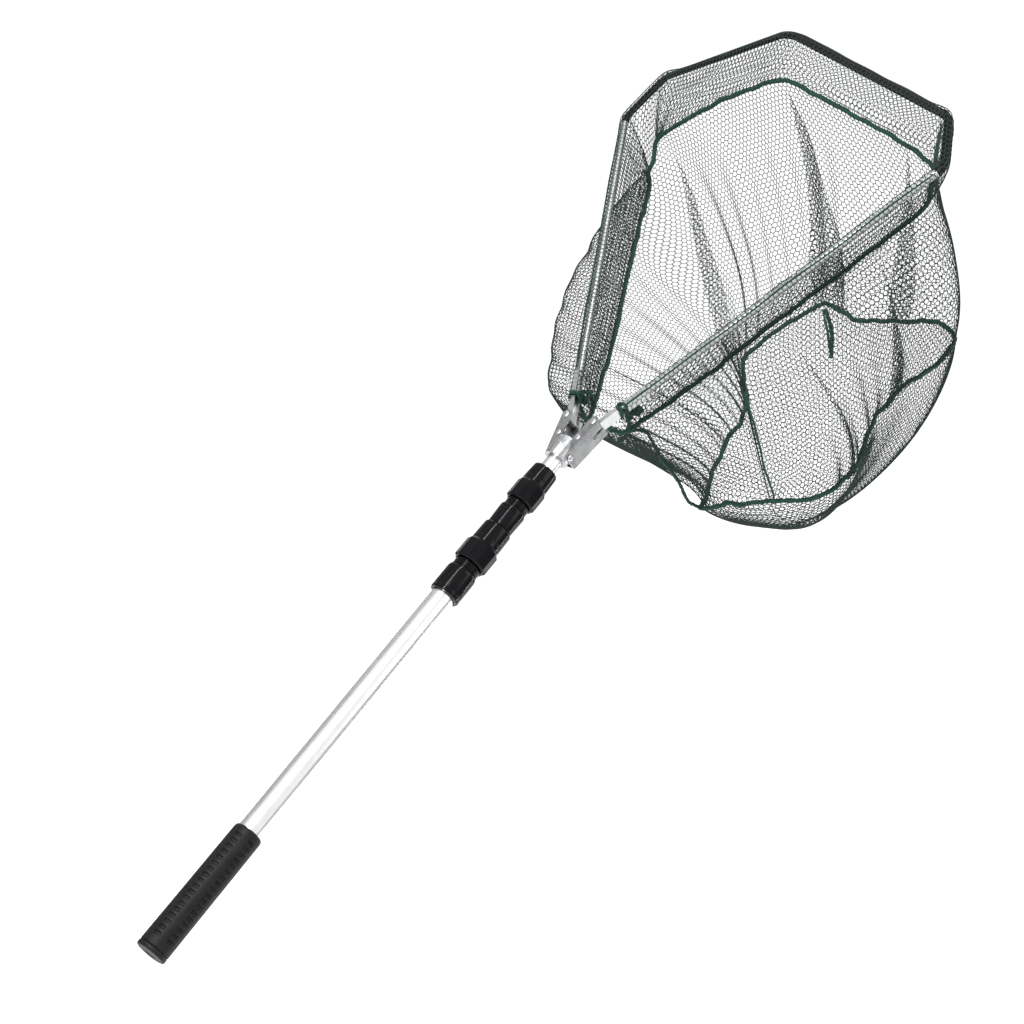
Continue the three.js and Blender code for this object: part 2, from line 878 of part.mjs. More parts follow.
const line = hoopLine();
const along = [0];
for (let i = 0; i < line.length; i++)
  along.push(along[i] + line[i].distanceTo(line[(i + 1) % line.length]));
const HOOP = shares.map((a) => {
  const d = a * along[line.length];
  let i = 1;
  while (along[i] < d) i++;
  const k = (d - along[i - 1]) / (along[i] - along[i - 1]);
  return line[i - 1].clone().lerp(line[i % line.length], k);
});
const wrap = (i) => (i + STATIONS) % STATIONS;
const OUT = smoothLoop(
  HOOP.map((p, i) => {
    const t = HOOP[wrap(i + 3)].clone().sub(HOOP[wrap(i - 3)]);
    const n = new THREE.Vector3(-t.y, t.x, 0).normalize();
    if (n.x * (p.x - NET_MID_X) + n.y * p.y < 0) n.negate();
    return [n.x, n.y, 0];
  }),
  14,
).map((v) => new THREE.Vector3(...v).normalize());
const BASE = smoothLoop(shares.map((a) => fromTable(BASE_SEAM, a)), 7).map(
  (v) => new THREE.Vector3(...v),
);
const HEM = smoothLoop(
  shares.map((a, i) => {
    const [inn, drop] = fromTable(HEM_SEAM, a);
    const q = HOOP[i].clone().addScaledVector(OUT[i], -inn);
    return [q.x, q.y, q.z - drop];
  }),
  5,
).map((v) => new THREE.Vector3(...v));
const PULL = smoothLoop(shares.map((a) => fromTable(WALL_PULL, a)), 8);
const SAG = smoothLoop(shares.map((a) => fromTable(BELLY, a)), 10);

// value of a per-station list between stations
function at(list, a) {
  const x = (((a % 1) + 1) % 1) * STATIONS;
  const i = Math.floor(x);
  return list[wrap(i)].clone().lerp(list[wrap(i + 1)], x - i);
}
function numAt(list, a, c) {
  const x = (((a % 1) + 1) % 1) * STATIONS;
  const i = Math.floor(x);
  return list[wrap(i)][c] + (list[wrap(i + 1)][c] - list[wrap(i)][c]) * (x - i);
}
// the net's wall from the hem's seam, q = 0, to the base seam, q = 1
function wallAt(a, q) {
  const s = at(HEM, a);
  const b = at(BASE, a);
  const o = at(OUT, a);
  const dz = s.z - b.z;
  const p1 = s.clone().addScaledVector(o, numAt(PULL, a, 0));
  p1.z -= 0.1 * dz;
  const p2 = b.clone().addScaledVector(o, numAt(PULL, a, 1));
  p2.z += 0.42 * dz;
  const g = new THREE.Vector3()
    .addScaledVector(s, (1 - q) ** 3)
    .addScaledVector(p1, 3 * q * (1 - q) ** 2)
    .addScaledVector(p2, 3 * q * q * (1 - q))
    .addScaledVector(b, q ** 3);
  // nothing hangs under the bracket
  const side = Math.min(1, Math.max(0, (Math.abs(g.y) - 24) / 30));
  const limit =
    g.z > 358 ? 508 - 90 * side * Math.min(1, (g.z - 358) / 40) : 517 + (358 - g.z) * 1.03 - 9;
  const d = g.x - limit;
  g.x = limit + 0.5 * (d + Math.sqrt(d * d + 196));
  return g;
}
function baseAt(a, r) {
  const b = at(BASE, a);
  const [cx, cy, cz] = BASE_MIDDLE;
  const k = Math.sin(Math.PI * r ** 0.62);
  const f = numAt(SAG, a, 0);
  return new THREE.Vector3(
    cx + (b.x - cx) * (1 - r) + f * k * 0.9,
    cy + (b.y - cy) * (1 - r) - f * k * 0.25,
    cz + (b.z - cz) * (1 - r) ** 1.35 - numAt(SAG, a, 1) * k,
  );
}
// a sheet of even thickness from a grid of points: fn(s, t), with s and t lists of parameters
function slab(fn, as, ts, thick, inwards) {
  const grid = as.map((a) => ts.map((t) => fn(a, t)));
  const n = as.length;
  const m = ts.length;
  const inner = grid.map((col, i) =>
    col.map((p, j) => {
      const ds = fn(as[i] + 0.004, ts[j]).sub(fn(as[i] - 0.004, ts[j]));
      const dt = fn(as[i], Math.min(1, ts[j] + 0.03)).sub(fn(as[i], Math.max(0, ts[j] - 0.03)));
      const nn = ds.cross(dt).normalize().multiplyScalar(inwards * thick);
      return p.clone().add(nn);
    }),
  );
  const pos = [];
  const quad = (a, b, c, d) => {
    for (const p of [a, b, c, a, c, d]) pos.push(p.x, p.y, p.z);
  };
  for (let i = 0; i < n - 1; i++)
    for (let j = 0; j < m - 1; j++) {
      quad(grid[i][j], grid[i][j + 1], grid[i + 1][j + 1], grid[i + 1][j]);
      quad(inner[i][j], inner[i + 1][j], inner[i + 1][j + 1], inner[i][j + 1]);
    }
  for (let i = 0; i < n - 1; i++) {
    quad(grid[i][0], grid[i + 1][0], inner[i + 1][0], inner[i][0]);
    quad(grid[i + 1][m - 1], grid[i][m - 1], inner[i][m - 1], inner[i + 1][m - 1]);
  }
  for (let j = 0; j < m - 1; j++) {
    quad(grid[0][j + 1], grid[0][j], inner[0][j], inner[0][j + 1]);
    quad(grid[n - 1][j], grid[n - 1][j + 1], inner[n - 1][j + 1], inner[n - 1][j]);
  }
  const g = new THREE.BufferGeometry();
  g.setAttribute("position", new THREE.Float32BufferAttribute(pos, 3));
  return solid(g);
}
const spread = (a, b, n) => Array.from({ length: n + 1 }, (_, i) => a + ((b - a) * i) / n);
const WALL_Q = [0.14, 0.22, 0.34, 0.47, 0.6, 0.74, 0.87, 0.96];
for (const [name, a, b, n, q0] of [
  ["net_left_rear", 0.0012, 0.1188, 8, 0.11],
  ["net_left_side", 0.1212, 0.2682, 8, 0.06],
  ["net_left_corner", 0.2718, 0.3785, 7, 0.05],
  ["net_front", 0.3815, 0.5585, 7, 0.045],
  ["net_right_corner", 0.5615, 0.7085, 11, 0.055],
  ["net_right_side", 0.7115, 0.8585, 8, 0.045],
  ["net_right_rear", 0.8615, 0.9988, 9, 0.09],
])
  put(name, slab(wallAt, spread(a, b, n), [q0, ...WALL_Q], NET_T, 1), MAT.net, hang);

{
  // base: the same sheet closed round, in to a small round of mesh at its middle
  const as = spread(0, 1, 36).slice(0, -1);
  const rs = [0.065, 0.14, 0.25, 0.42, 0.62, 0.84];
  const low = rs.map((r) => as.map((a) => baseAt(a, r)));
  const high = low.map((row, i) =>
    row.map((p, j) => {
      const ds = baseAt(as[j] + 0.004, rs[i]).sub(baseAt(as[j] - 0.004, rs[i]));
      const dr = baseAt(as[j], rs[i] + 0.03).sub(baseAt(as[j], Math.max(0, rs[i] - 0.03)));
      const nn = ds.cross(dr).normalize();
      // the sheet's thickness goes inwards
      if (nn.dot(new THREE.Vector3(740, -60, 400).sub(p)) < 0) nn.negate();
      return p.clone().addScaledVector(nn, NET_T);
    }),
  );
  const lowC = new THREE.Vector3(...BASE_MIDDLE);
  const highC = lowC.clone().setZ(lowC.z + NET_T);
  const pos = [];
  const add = (a, b, c) => pos.push(a.x, a.y, a.z, b.x, b.y, b.z, c.x, c.y, c.z);
  const n = as.length;
  const band = (A1, B1) => {
    for (let j = 0; j < n; j++) {
      const k = (j + 1) % n;
      add(A1[j], A1[k], B1[k]);
      add(A1[j], B1[k], B1[j]);
    }
  };
  for (let i = 0; i < rs.length - 1; i++) band(low[i], low[i + 1]);
  for (let j = 0; j < n; j++) add(low[rs.length - 1][j], low[rs.length - 1][(j + 1) % n], lowC);
  for (let i = rs.length - 1; i > 0; i--) band(high[i], high[i - 1]);
  for (let j = 0; j < n; j++) add(highC, high[rs.length - 1][(j + 1) % n], high[rs.length - 1][j]);
  band(high[0], low[0]);
  const g = new THREE.BufferGeometry();
  g.setAttribute("position", new THREE.Float32BufferAttribute(pos, 3));
  put("net_base", solid(g), MAT.net, hang);
}

{
  // hem: a closed band between the hoop and its seam
  const as = spread(0, 1, 52).slice(0, -1);
  const hemAt = (a, t, off) => {
    const p = at(HOOP, a);
    p.z -= 8.2;
    return p.lerp(at(HEM, a), t).addScaledVector(at(OUT, a), off);
  };
  const rings = [
    as.map((a) => hemAt(a, 0, 0)),
    as.map((a) => hemAt(a, 0.86, 0)),
    as.map((a) => hemAt(a, 0.86, -HEM_T)),
    as.map((a) => hemAt(a, 0, -HEM_T)),
  ];
  put("net_hem", loft(rings, true), MAT.net, hang);
  const cordRing = (fn, r, sides, list) => {
    const rings2 = [];
    for (let k = 0; k < sides; k++) {
      const ang = (2 * Math.PI * k) / sides;
      rings2.push(
        list.map((a) =>
          fn(a)
            .clone()
            .addScaledVector(at(OUT, a), r * Math.cos(ang))
            .add(new THREE.Vector3(0, 0, r * Math.sin(ang))),
        ),
      );
    }
    return loft(rings2, true);
  };
  put("hem_seam_cord", cordRing((a) => at(HEM, a), SEAM_R, 6, as), MAT.cord, hang);
  put("base_seam_cord", cordRing((a) => at(BASE, a), SEAM_R, 6, as), MAT.cord, hang);
}

export default root;
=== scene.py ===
import math
import bpy
import bmesh
import numpy as np
from mathutils import Matrix


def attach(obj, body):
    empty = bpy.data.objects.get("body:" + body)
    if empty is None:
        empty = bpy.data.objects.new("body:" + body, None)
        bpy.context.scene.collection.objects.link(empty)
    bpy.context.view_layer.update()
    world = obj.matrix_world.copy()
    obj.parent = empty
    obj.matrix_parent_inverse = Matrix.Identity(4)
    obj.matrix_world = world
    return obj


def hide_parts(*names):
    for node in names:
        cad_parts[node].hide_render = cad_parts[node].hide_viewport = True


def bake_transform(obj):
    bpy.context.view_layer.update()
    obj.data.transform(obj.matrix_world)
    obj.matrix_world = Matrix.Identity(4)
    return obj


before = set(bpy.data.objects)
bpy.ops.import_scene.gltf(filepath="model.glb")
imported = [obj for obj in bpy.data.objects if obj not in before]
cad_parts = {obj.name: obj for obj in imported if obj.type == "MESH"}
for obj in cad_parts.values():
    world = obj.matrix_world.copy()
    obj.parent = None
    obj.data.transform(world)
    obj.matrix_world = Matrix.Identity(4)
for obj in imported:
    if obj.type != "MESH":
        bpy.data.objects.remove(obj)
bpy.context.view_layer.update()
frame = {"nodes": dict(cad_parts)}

RNG = np.random.default_rng(7)
MM = 0.001

# ------------------------------------------------------------------ frames, in mm
HR = math.radians(35.65)
CR = math.radians(35.65 + 6.71)
HX = np.array([-math.sin(HR), 0, math.cos(HR)])
HY = np.array([0, -1.0, 0])
HZ = np.array([math.cos(HR), 0, math.sin(HR)])
U = np.array([math.cos(CR), 0, math.sin(CR)])
V = np.array([0, -1.0, 0])
W = np.array([-math.sin(CR), 0, math.cos(CR)])
O = (677.3 - 72) * HZ
ARM = math.radians(28)
ARM_LEN = 416.3


def on_handle(p):
    return p[:, 0:1] * HX + p[:, 1:2] * HY + (p[:, 2:3] - 72) * HZ


def on_arm(s):
    along = math.cos(ARM) * U + s * math.sin(ARM) * V
    across = -math.sin(ARM) * U + s * math.cos(ARM) * V

    def place(p):
        return O + 19 * s * V + p[:, 0:1] * W + p[:, 1:2] * across + p[:, 2:3] * along

    return place


def pin_place(u, v):
    def place(p):
        return O + p[:, 2:3] * W + (p[:, 0:1] + u) * U + (p[:, 1:2] + v) * V

    return place


def to_row(q):
    return O + q[0] * U + q[1] * V + q[2] * W


def sstep(x, a, b):
    t = np.clip((x - a) / (b - a), 0, 1)
    return t * t * (3 - 2 * t)


# ------------------------------------------------------------------ materials
def material(name, colour, dark, rough, metallic=0.0, bump=0.15, scale=600.0, mottle=90.0, stretch=None,
             coat=0.0, spec=0.5, bump_distance=0.0004):
    m = bpy.data.materials.new(name)
    m.use_nodes = True
    nt = m.node_tree
    nt.nodes.clear()
    out = nt.nodes.new("ShaderNodeOutputMaterial")
    bs = nt.nodes.new("ShaderNodeBsdfPrincipled")
    nt.links.new(bs.outputs[0], out.inputs[0])
    tc = nt.nodes.new("ShaderNodeTexCoord")
    mp = nt.nodes.new("ShaderNodeMapping")
    nt.links.new(tc.outputs["Object"], mp.inputs["Vector"])
    if stretch == "handle":
        mp.inputs["Rotation"].default_value = (0, HR, 0)
        mp.inputs["Scale"].default_value = (0.03, 1, 1)
    elif stretch == "hoop":
        mp.inputs["Rotation"].default_value = (0, CR, 0)
        mp.inputs["Scale"].default_value = (0.15, 1, 1)
    fine = nt.nodes.new("ShaderNodeTexNoise")
    fine.inputs["Scale"].default_value = scale
    fine.inputs["Detail"].default_value = 5
    fine.inputs["Roughness"].default_value = 0.62
    big = nt.nodes.new("ShaderNodeTexNoise")
    big.inputs["Scale"].default_value = mottle
    big.inputs["Detail"].default_value = 4
    nt.links.new(mp.outputs[0], fine.inputs["Vector"])
    nt.links.new(tc.outputs["Object"], big.inputs["Vector"])
    mixer = nt.nodes.new("ShaderNodeMath")
    mixer.operation = "MULTIPLY_ADD"
    nt.links.new(fine.outputs[0], mixer.inputs[0])
    mixer.inputs[1].default_value = 0.5
    half = nt.nodes.new("ShaderNodeMath")
    half.operation = "MULTIPLY"
    nt.links.new(big.outputs[0], half.inputs[0])
    half.inputs[1].default_value = 0.5
    nt.links.new(half.outputs[0], mixer.inputs[2])
    ramp = nt.nodes.new("ShaderNodeValToRGB")
    ramp.color_ramp.elements[0].position = 0.32
    ramp.color_ramp.elements[0].color = (*dark, 1)
    ramp.color_ramp.elements[1].position = 0.66
    ramp.color_ramp.elements[1].color = (*colour, 1)
    nt.links.new(mixer.outputs[0], ramp.inputs[0])
    nt.links.new(ramp.outputs[0], bs.inputs["Base Color"])
    rr = nt.nodes.new("ShaderNodeMapRange")
    rr.inputs["To Min"].default_value = rough[0]
    rr.inputs["To Max"].default_value = rough[1]
    rr.inputs["From Min"].default_value = 0.3
    rr.inputs["From Max"].default_value = 0.7
    nt.links.new(mixer.outputs[0], rr.inputs["Value"])
    nt.links.new(rr.outputs[0], bs.inputs["Roughness"])
    bs.inputs["Metallic"].default_value = metallic
    bs.inputs["Coat Weight"].default_value = coat
    bs.inputs["Coat Roughness"].default_value = 0.08
    bs.inputs["Specular IOR Level"].default_value = spec
    if bump:
        b = nt.nodes.new("ShaderNodeBump")
        b.inputs["Strength"].default_value = bump
        b.inputs["Distance"].default_value = bump_distance
        nt.links.new(fine.outputs[0], b.inputs["Height"])
        nt.links.new(b.outputs[0], bs.inputs["Normal"])
    return m


M = {
    "rubber": material("grip_rubber", (0.0075, 0.008, 0.009), (0.003, 0.003, 0.0035), (0.42, 0.6), bump=0.3, scale=1400, spec=0.16),
    "alu": material("satin_aluminium", (0.84, 0.845, 0.855), (0.78, 0.785, 0.795), (0.20, 0.27), 1.0, bump=0.03, scale=1500, stretch="handle", bump_distance=0.0001),
    "arm": material("arm_aluminium", (0.62, 0.64, 0.63), (0.46, 0.48, 0.47), (0.3, 0.45), 1.0, bump=0.12, scale=900, stretch="hoop", bump_distance=0.0002),
    "gloss": material("gloss_black", (0.003, 0.0032, 0.004), (0.0015, 0.0015, 0.002), (0.09, 0.17), bump=0.04, scale=900, spec=0.13),
    "nylon": material("white_nylon", (0.76, 0.74, 0.68), (0.62, 0.60, 0.54), (0.4, 0.55), bump=0.1, scale=700),
    "bracket": material("pressed_bracket", (0.47, 0.475, 0.48), (0.29, 0.295, 0.30), (0.22, 0.40), 1.0, bump=0.22, scale=1100),
    "steel": material("rivet_steel", (0.68, 0.685, 0.69), (0.5, 0.5, 0.51), (0.2, 0.34), 1.0, bump=0.15, scale=1300),
    "bow": material("bow_black", (0.0045, 0.005, 0.0048), (0.002, 0.0022, 0.0022), (0.38, 0.55), bump=0.3, scale=1500, spec=0.14),
    "net": material("net_twine", (0.022, 0.038, 0.030), (0.008, 0.015, 0.012), (0.62, 0.8), bump=0.5, scale=3000, spec=0.2),
    "sleeve": material("sleeve_twine", (0.016, 0.036, 0.027), (0.006, 0.014, 0.011), (0.62, 0.8), bump=0.5, scale=3000, spec=0.3),
    "cord": material("seam_cord", (0.006, 0.048, 0.034), (0.0015, 0.013, 0.010), (0.62, 0.82), bump=0.9, scale=2600, mottle=400, spec=0.3),
}


# ------------------------------------------------------------------ mesh builders
def make(name, verts, faces, mat, sharp=None, fix=False):
    me = bpy.data.meshes.new(name)
    me.from_pydata([tuple(v) for v in (np.asarray(verts, float) * MM).tolist()], [], faces)
    me.update()
    if fix:
        bm = bmesh.new()
        bm.from_mesh(me)
        bmesh.ops.recalc_face_normals(bm, faces=bm.faces)
        bm.to_mesh(me)
        bm.free()
    me.shade_smooth()
    if sharp is not None:
        me.set_sharp_from_angle(angle=math.radians(sharp))
    o = bpy.data.objects.new(name, me)
    bpy.context.scene.collection.objects.link(o)
    o.data.materials.append(M[mat])
    return o


def soften(profile, rad, closed=False, n=3):
    out = []
    m = len(profile)
    for i, p in enumerate(profile):
        if not closed and i in (0, m - 1):
            out.append(tuple(p))
            continue
        p = np.array(p, float)
        a = np.array(profile[(i - 1) % m], float) - p
        b = np.array(profile[(i + 1) % m], float) - p
        la, lb = np.linalg.norm(a), np.linalg.norm(b)
        r = min(rad, la * 0.42, lb * 0.42)
        a, b = a / la, b / lb
        if a @ b < -0.995:
            out.append(tuple(p))
            continue
        for k in range(n + 1):
            t = k / n
            q = p + a * r * (1 - t) ** 2 + b * r * t ** 2
            out.append(tuple(q))
    return out


def turned(profile, seg=96, rmod=None, closed=False):
    verts, faces, rows = [], [], []
    th = np.arange(seg) * 2 * np.pi / seg
    for r, s in profile:
        if r <= 1e-6:
            rows.append([len(verts)])
            verts.append((0.0, 0.0, s))
        else:
            rr = np.full(seg, float(r)) if rmod is None else rmod(th, r, s)
            i0 = len(verts)
            verts += list(zip(rr * np.cos(th), rr * np.sin(th), np.full(seg, float(s))))
            rows.append(list(range(i0, i0 + seg)))
    pairs = list(zip(rows[:-1], rows[1:]))
    if closed:
        pairs.append((rows[-1], rows[0]))
    for a, b in pairs:
        for k in range(seg):
            j = (k + 1) % seg
            if len(a) == 1 and len(b) == 1:
                continue
            if len(a) == 1:
                faces.append((a[0], b[j], b[k]))
            elif len(b) == 1:
                faces.append((a[k], a[j], b[0]))
            else:
                faces.append((a[k], a[j], b[j], b[k]))
    return np.array(verts), faces


def lathe(name, profile, mat, body, nodes=(), place=on_handle, seg=96, rmod=None, closed=False, rad=0.4, sharp=40):
    v, f = turned(soften(profile, rad, closed) if rad else profile, seg, rmod, closed)
    o = make(name, place(v), f, mat, sharp, fix=True)
    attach(o, body)
    if nodes:
        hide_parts(*nodes)
    return o


def tube(points, r, sides=10, fuzz=0.0, lay=0.0, ends=True):
    p = np.asarray(points, float)
    t = np.gradient(p, axis=0)
    t /= np.linalg.norm(t, axis=1)[:, None] + 1e-12
    ref = np.array([0, 0, 1.0]) if abs(t[0, 2]) < 0.9 else np.array([1.0, 0, 0])
    n = np.zeros_like(p)
    x = np.cross(ref, t[0])
    x /= np.linalg.norm(x)
    for i in range(len(p)):
        x = x - t[i] * (x @ t[i])
        x /= np.linalg.norm(x)
        n[i] = x
    b = np.cross(t, n)
    th = np.arange(sides) * 2 * np.pi / sides
    dist = np.concatenate([[0], np.cumsum(np.linalg.norm(np.diff(p, axis=0), axis=1))])
    rr = r * np.ones((len(p), sides))
    if lay:
        rr *= 1 + 0.16 * np.cos(3 * (th[None, :] - 2 * np.pi * dist[:, None] / lay))
    if fuzz:
        rr *= 1 + fuzz * RNG.standard_normal((len(p), sides)).clip(-1.6, 1.6)
    v = (p[:, None] + rr[..., None] * (np.cos(th)[None, :, None] * n[:, None] + np.sin(th)[None, :, None] * b[:, None])).reshape(-1, 3)
    f = []
    for i in range(len(p) - 1):
        for j in range(sides):
            k = (j + 1) % sides
            f.append((i * sides + j, i * sides + k, (i + 1) * sides + k, (i + 1) * sides + j))
    if ends:
        v = np.vstack([v, p[0] - t[0] * r * 0.5, p[-1] + t[-1] * r * 0.5])
        m = len(p) * sides
        for j in range(sides):
            k = (j + 1) % sides
            f.append((k, j, m))
            f.append(((len(p) - 1) * sides + j, (len(p) - 1) * sides + k, m + 1))
    return v, f


def resample(points, step):
    p = np.asarray(points, float)
    d = np.concatenate([[0], np.cumsum(np.linalg.norm(np.diff(p, axis=0), axis=1))])
    n = max(4, int(d[-1] / step))
    x = np.linspace(0, d[-1], n)
    return np.stack([np.interp(x, d, p[:, k]) for k in range(3)], 1)


def spline(points, step):
    """Smooth line through the points (centripetal-like, by Catmull-Rom), resampled."""
    p = np.asarray(points, float)
    q = np.vstack([2 * p[0] - p[1], p, 2 * p[-1] - p[-2]])
    out = []
    for i in range(1, len(q) - 2):
        for t in np.linspace(0, 1, 12, endpoint=False):
            out.append(0.5 * (2 * q[i] + (q[i + 1] - q[i - 1]) * t + (2 * q[i - 1] - 5 * q[i] + 4 * q[i + 1] - q[i + 2]) * t * t
                              + (3 * q[i] - q[i - 1] - 3 * q[i + 1] + q[i + 2]) * t ** 3))
    out.append(p[-1])
    return resample(out, step)


def cord_piece(name, points, r, mat="cord", step=1.3, sides=10, fuzz=0.15, lay=9.0):
    v, f = tube(resample(points, step), r, sides, fuzz, lay)
    return make(name, v, f, mat, None)


# ------------------------------------------------------------------ handle
def grip_radius(th, r, s):
    if not 12 < s < 136 or r < 14:
        return np.full(len(th), r)
    pitch = 6.85
    ph = (s - 14.5) / pitch
    k = ph - math.floor(ph)
    if ph < 0 or ph > 17.6:
        along = 0.0
    else:
        along = float(sstep(np.array(k), 0.12, 0.24) * (1 - sstep(np.array(k), 0.56, 0.68)))
    m = np.zeros(len(th))
    for ridge in (48, 228):
        d = np.degrees(np.angle(np.exp(1j * (th - math.radians(ridge)))))
        for c in (-29, 31):
            e = np.abs(d - c)
            m = np.maximum(m, 1 - sstep(e, 11.5, 15.5))
    groove = 0.0
    return r - 1.5 * along * m - groove


rows = [(12.85, 5.4), (15.2, 5.4), (15.6, 5.8), (15.78, 6.6)]
for s in np.arange(7.2, 140, 0.5):
    rows.append((15.9 - 0.3 * min(1, (s - 7.4) / 38) - 0.5 * max(0, (s - 45) / 95), s))
rows += [(15.05, 140.4), (14.9, 141.4), (14.6, 142.5), (14.1, 143.4), (13.4, 143.9), (12.85, 144)]
v, f = turned(rows, 200, grip_radius, True)
o = make("grip_sleeve", on_handle(v), f, "rubber", 50, fix=True)
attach(o, "handle_outer")
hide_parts("grip")

lathe("butt_end_cap", [(0, 0.6), (6, 0.5), (6.6, 0), (14.2, 0), (15.4, 0.5), (16.0, 1.6), (16.0, 4.4), (15.6, 5.0), (10.8, 5.0), (10.8, 20), (9.6, 20), (9.6, 7), (0, 7)],
      "rubber", "handle_outer", ["butt_cap"])


def pipe(name, r, wall, a, b, body, node):
    lathe(name, [(r - wall, a), (r, a), (r, b), (r - wall, b)], "alu", body, [node], closed=True, rad=0.35, seg=128)


pipe("outer_tube_drawn", 12.5, 1.3, 6, 462, "handle_outer", "outer_tube")
pipe("middle_tube_drawn", 10.5, 1.2, 28, 545, "handle_middle", "middle_tube")
pipe("inner_tube_drawn", 8.5, 1.2, 60, 641, "handle_inner", "inner_tube")


def thread(r, rr, a, b, n):
    out = []
    step = (b - a) / n
    for i in range(n):
        x = a + i * step
        out += [(r, x), (r, x + step * 0.3), (rr, x + step * 0.5), (rr, x + step * 0.75), (r, x + step * 0.98)]
    return out


lathe("lower_ferrule_body",
      [(12.85, 443), (15.4, 443), (16.1, 444.2), (16.1, 447.6), (15.8, 448.0), (15.8, 448.8), (16.1, 449.2), (16.1, 470.5), (15.6, 473.2), (15.0, 474.2), (13.3, 474.4)]
      + thread(13.3, 14.25, 474.6, 483.2, 3) + [(13.3, 484.2), (13.3, 500), (10.9, 500), (10.9, 462.6), (12.85, 462.6)],
      "gloss", "handle_outer", ["lower_ferrule"], closed=True, rad=0.35)
lathe("upper_ferrule_body",
      [(10.85, 532.6), (12.9, 532.6), (13.3, 533.4), (13.5, 536), (14.1, 553.6), (14.0, 555.8), (13.3, 557), (11.7, 557.2)]
      + thread(11.7, 12.55, 557.4, 565.9, 3) + [(11.7, 566.9), (11.7, 575.6), (8.9, 575.6), (8.9, 545.6), (10.85, 545.6)],
      "gloss", "handle_middle", ["upper_ferrule"], closed=True, rad=0.35)


def nut(name, node, body, a, mid, b, rf, rt, rte, rth, rc, rl, tt):
    n = 10

    def flats(th, r, s):
        if a < s < mid - 0.2 and r > rth + 1.2:
            x = np.mod(th + 0.2, 2 * np.pi / n) - np.pi / n
            poly = math.cos(np.pi / n) / np.cos(x)
            edge = min(1.0, (s - a) / 2.2, (mid - s) / 2.2)
            dish = 0.985 * poly / 1.0
            return r * (1 + (dish - 0.985) * 1.0) * (0.955 + 0.045 * edge)
        return np.full(len(th), float(r))

    body_rows = [(rf * 1.02, a + 0.5 + (mid - a - 1.0) * k) for k in (0.06, 0.12, 0.2, 0.35, 0.5, 0.65, 0.8, 0.88, 0.94)]
    prof = [(rth, a), (rf - 1.6, a)] + body_rows + [(rt + 0.5, mid), (rt, mid + 0.6), (rt, mid + 4)]
    prof += [(rt - 0.05, mid + 6), (rt - 0.35, mid + 6.4), (rt - 0.35, mid + 7.0), (rt - 0.1, mid + 7.4)]
    prof += [(rte, b - 1.6), (rte - 0.4, b - 0.5), (rte - 1.0, b), (rl, b), (rl, b - 2.2), (rc, b - 3.4), (rc, tt), (rth, tt)]
    lathe(name, prof, "gloss", body, [node], closed=True, rad=0.3, seg=160, rmod=flats, sharp=28)


nut("lower_twist_nut", "lower_lock_nut", "lower_nut", 483.4, 508, 532, 17.9, 15.6, 15.2, 14.5, 12.7, 10.85, 500.5)
nut("upper_twist_nut", "upper_lock_nut", "upper_nut", 566, 589.5, 611.5, 15.9, 14.3, 13.5, 12.8, 10.7, 8.85, 576.2)

# a moulded lug on the lower ferrule, near its rim
bm = bmesh.new()
bmesh.ops.create_cube(bm, size=1.0)
for q in bm.verts:
    q.co = (q.co.x * 1.6, q.co.y * 3.2, q.co.z * 5.0)
bmesh.ops.bevel(bm, geom=list(bm.edges), offset=0.5, segments=3, affect="EDGES", profile=0.5)
lv = np.array([q.co[:] for q in bm.verts])
lf = [tuple(w.index for w in g.verts) for g in bm.faces]
bm.free()
ang = math.radians(100)
lug = np.stack([(lv[:, 0] + 16.2) * math.cos(ang) - lv[:, 1] * math.sin(ang), (lv[:, 0] + 16.2) * math.sin(ang) + lv[:, 1] * math.cos(ang), lv[:, 2] + 453.0], 1)
o = make("ferrule_lug", on_handle(lug), lf, "gloss", 40)
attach(o, "handle_outer")

# ------------------------------------------------------------------ CAD pieces that stay, with bevels
nodes = frame["nodes"]
keep = {"lower_collet": "nylon", "upper_collet": "nylon", "middle_tube_bush": "nylon", "inner_tube_bush": "nylon",
        "inner_tube_plug": "nylon", "head_bracket": "bracket", "right_channel_spacer": "steel", "left_channel_spacer": "steel",
        "right_arm_channel": "arm", "left_arm_channel": "arm", "right_arm_spigot": "steel", "left_arm_spigot": "steel"}
for n, m in keep.items():
    ob = nodes[n]
    ob.data.materials.clear()
    ob.data.materials.append(M[m])
    be = ob.modifiers.new("edge", "BEVEL")
    be.width = 0.00042 if n == "head_bracket" else 0.0003
    be.segments = 3
    be.limit_method = "ANGLE"
    be.angle_limit = math.radians(32)
    be.harden_normals = False

# rivets and the cross pin, with domed heads


def rivet(name, node, r, head, u, v):
    p = [(0, -12.4), (head * 0.45, -12.3), (head * 0.8, -11.95), (head, -11.3), (head, -10.95), (r, -10.95),
         (r, 10.95), (head, 10.95), (head, 11.3), (head * 0.8, 11.95), (head * 0.45, 12.3), (0, 12.4)]
    lathe(name, p, "steel", "handle_inner", [node], place=pin_place(u, v), seg=40, rad=0.3)


for side, s in (("right", 1), ("left", -1)):
    rivet(side + "_pivot_pin", side + "_pivot_rivet", 2.0, 3.6, 0, s * 19)
    rivet(side + "_rear_pin", side + "_channel_rivet", 1.75, 3.2, -21.4, s * 13.6)


def cross_place(p):
    q = np.stack([p[:, 0], p[:, 2], p[:, 1] + 634], 1)
    return on_handle(q)


lathe("socket_cross_pin", [(0, -17), (1.6, -17), (2.6, -16.8), (3.2, -16.3), (3.2, -15.5), (1.95, -15.5), (1.95, 15.5), (3.2, 15.5), (3.2, 16.3), (2.6, 16.8), (1.6, 17), (0, 17)],
      "steel", "handle_inner", ["bracket_cross_pin"], place=cross_place, seg=40, rad=0.25)

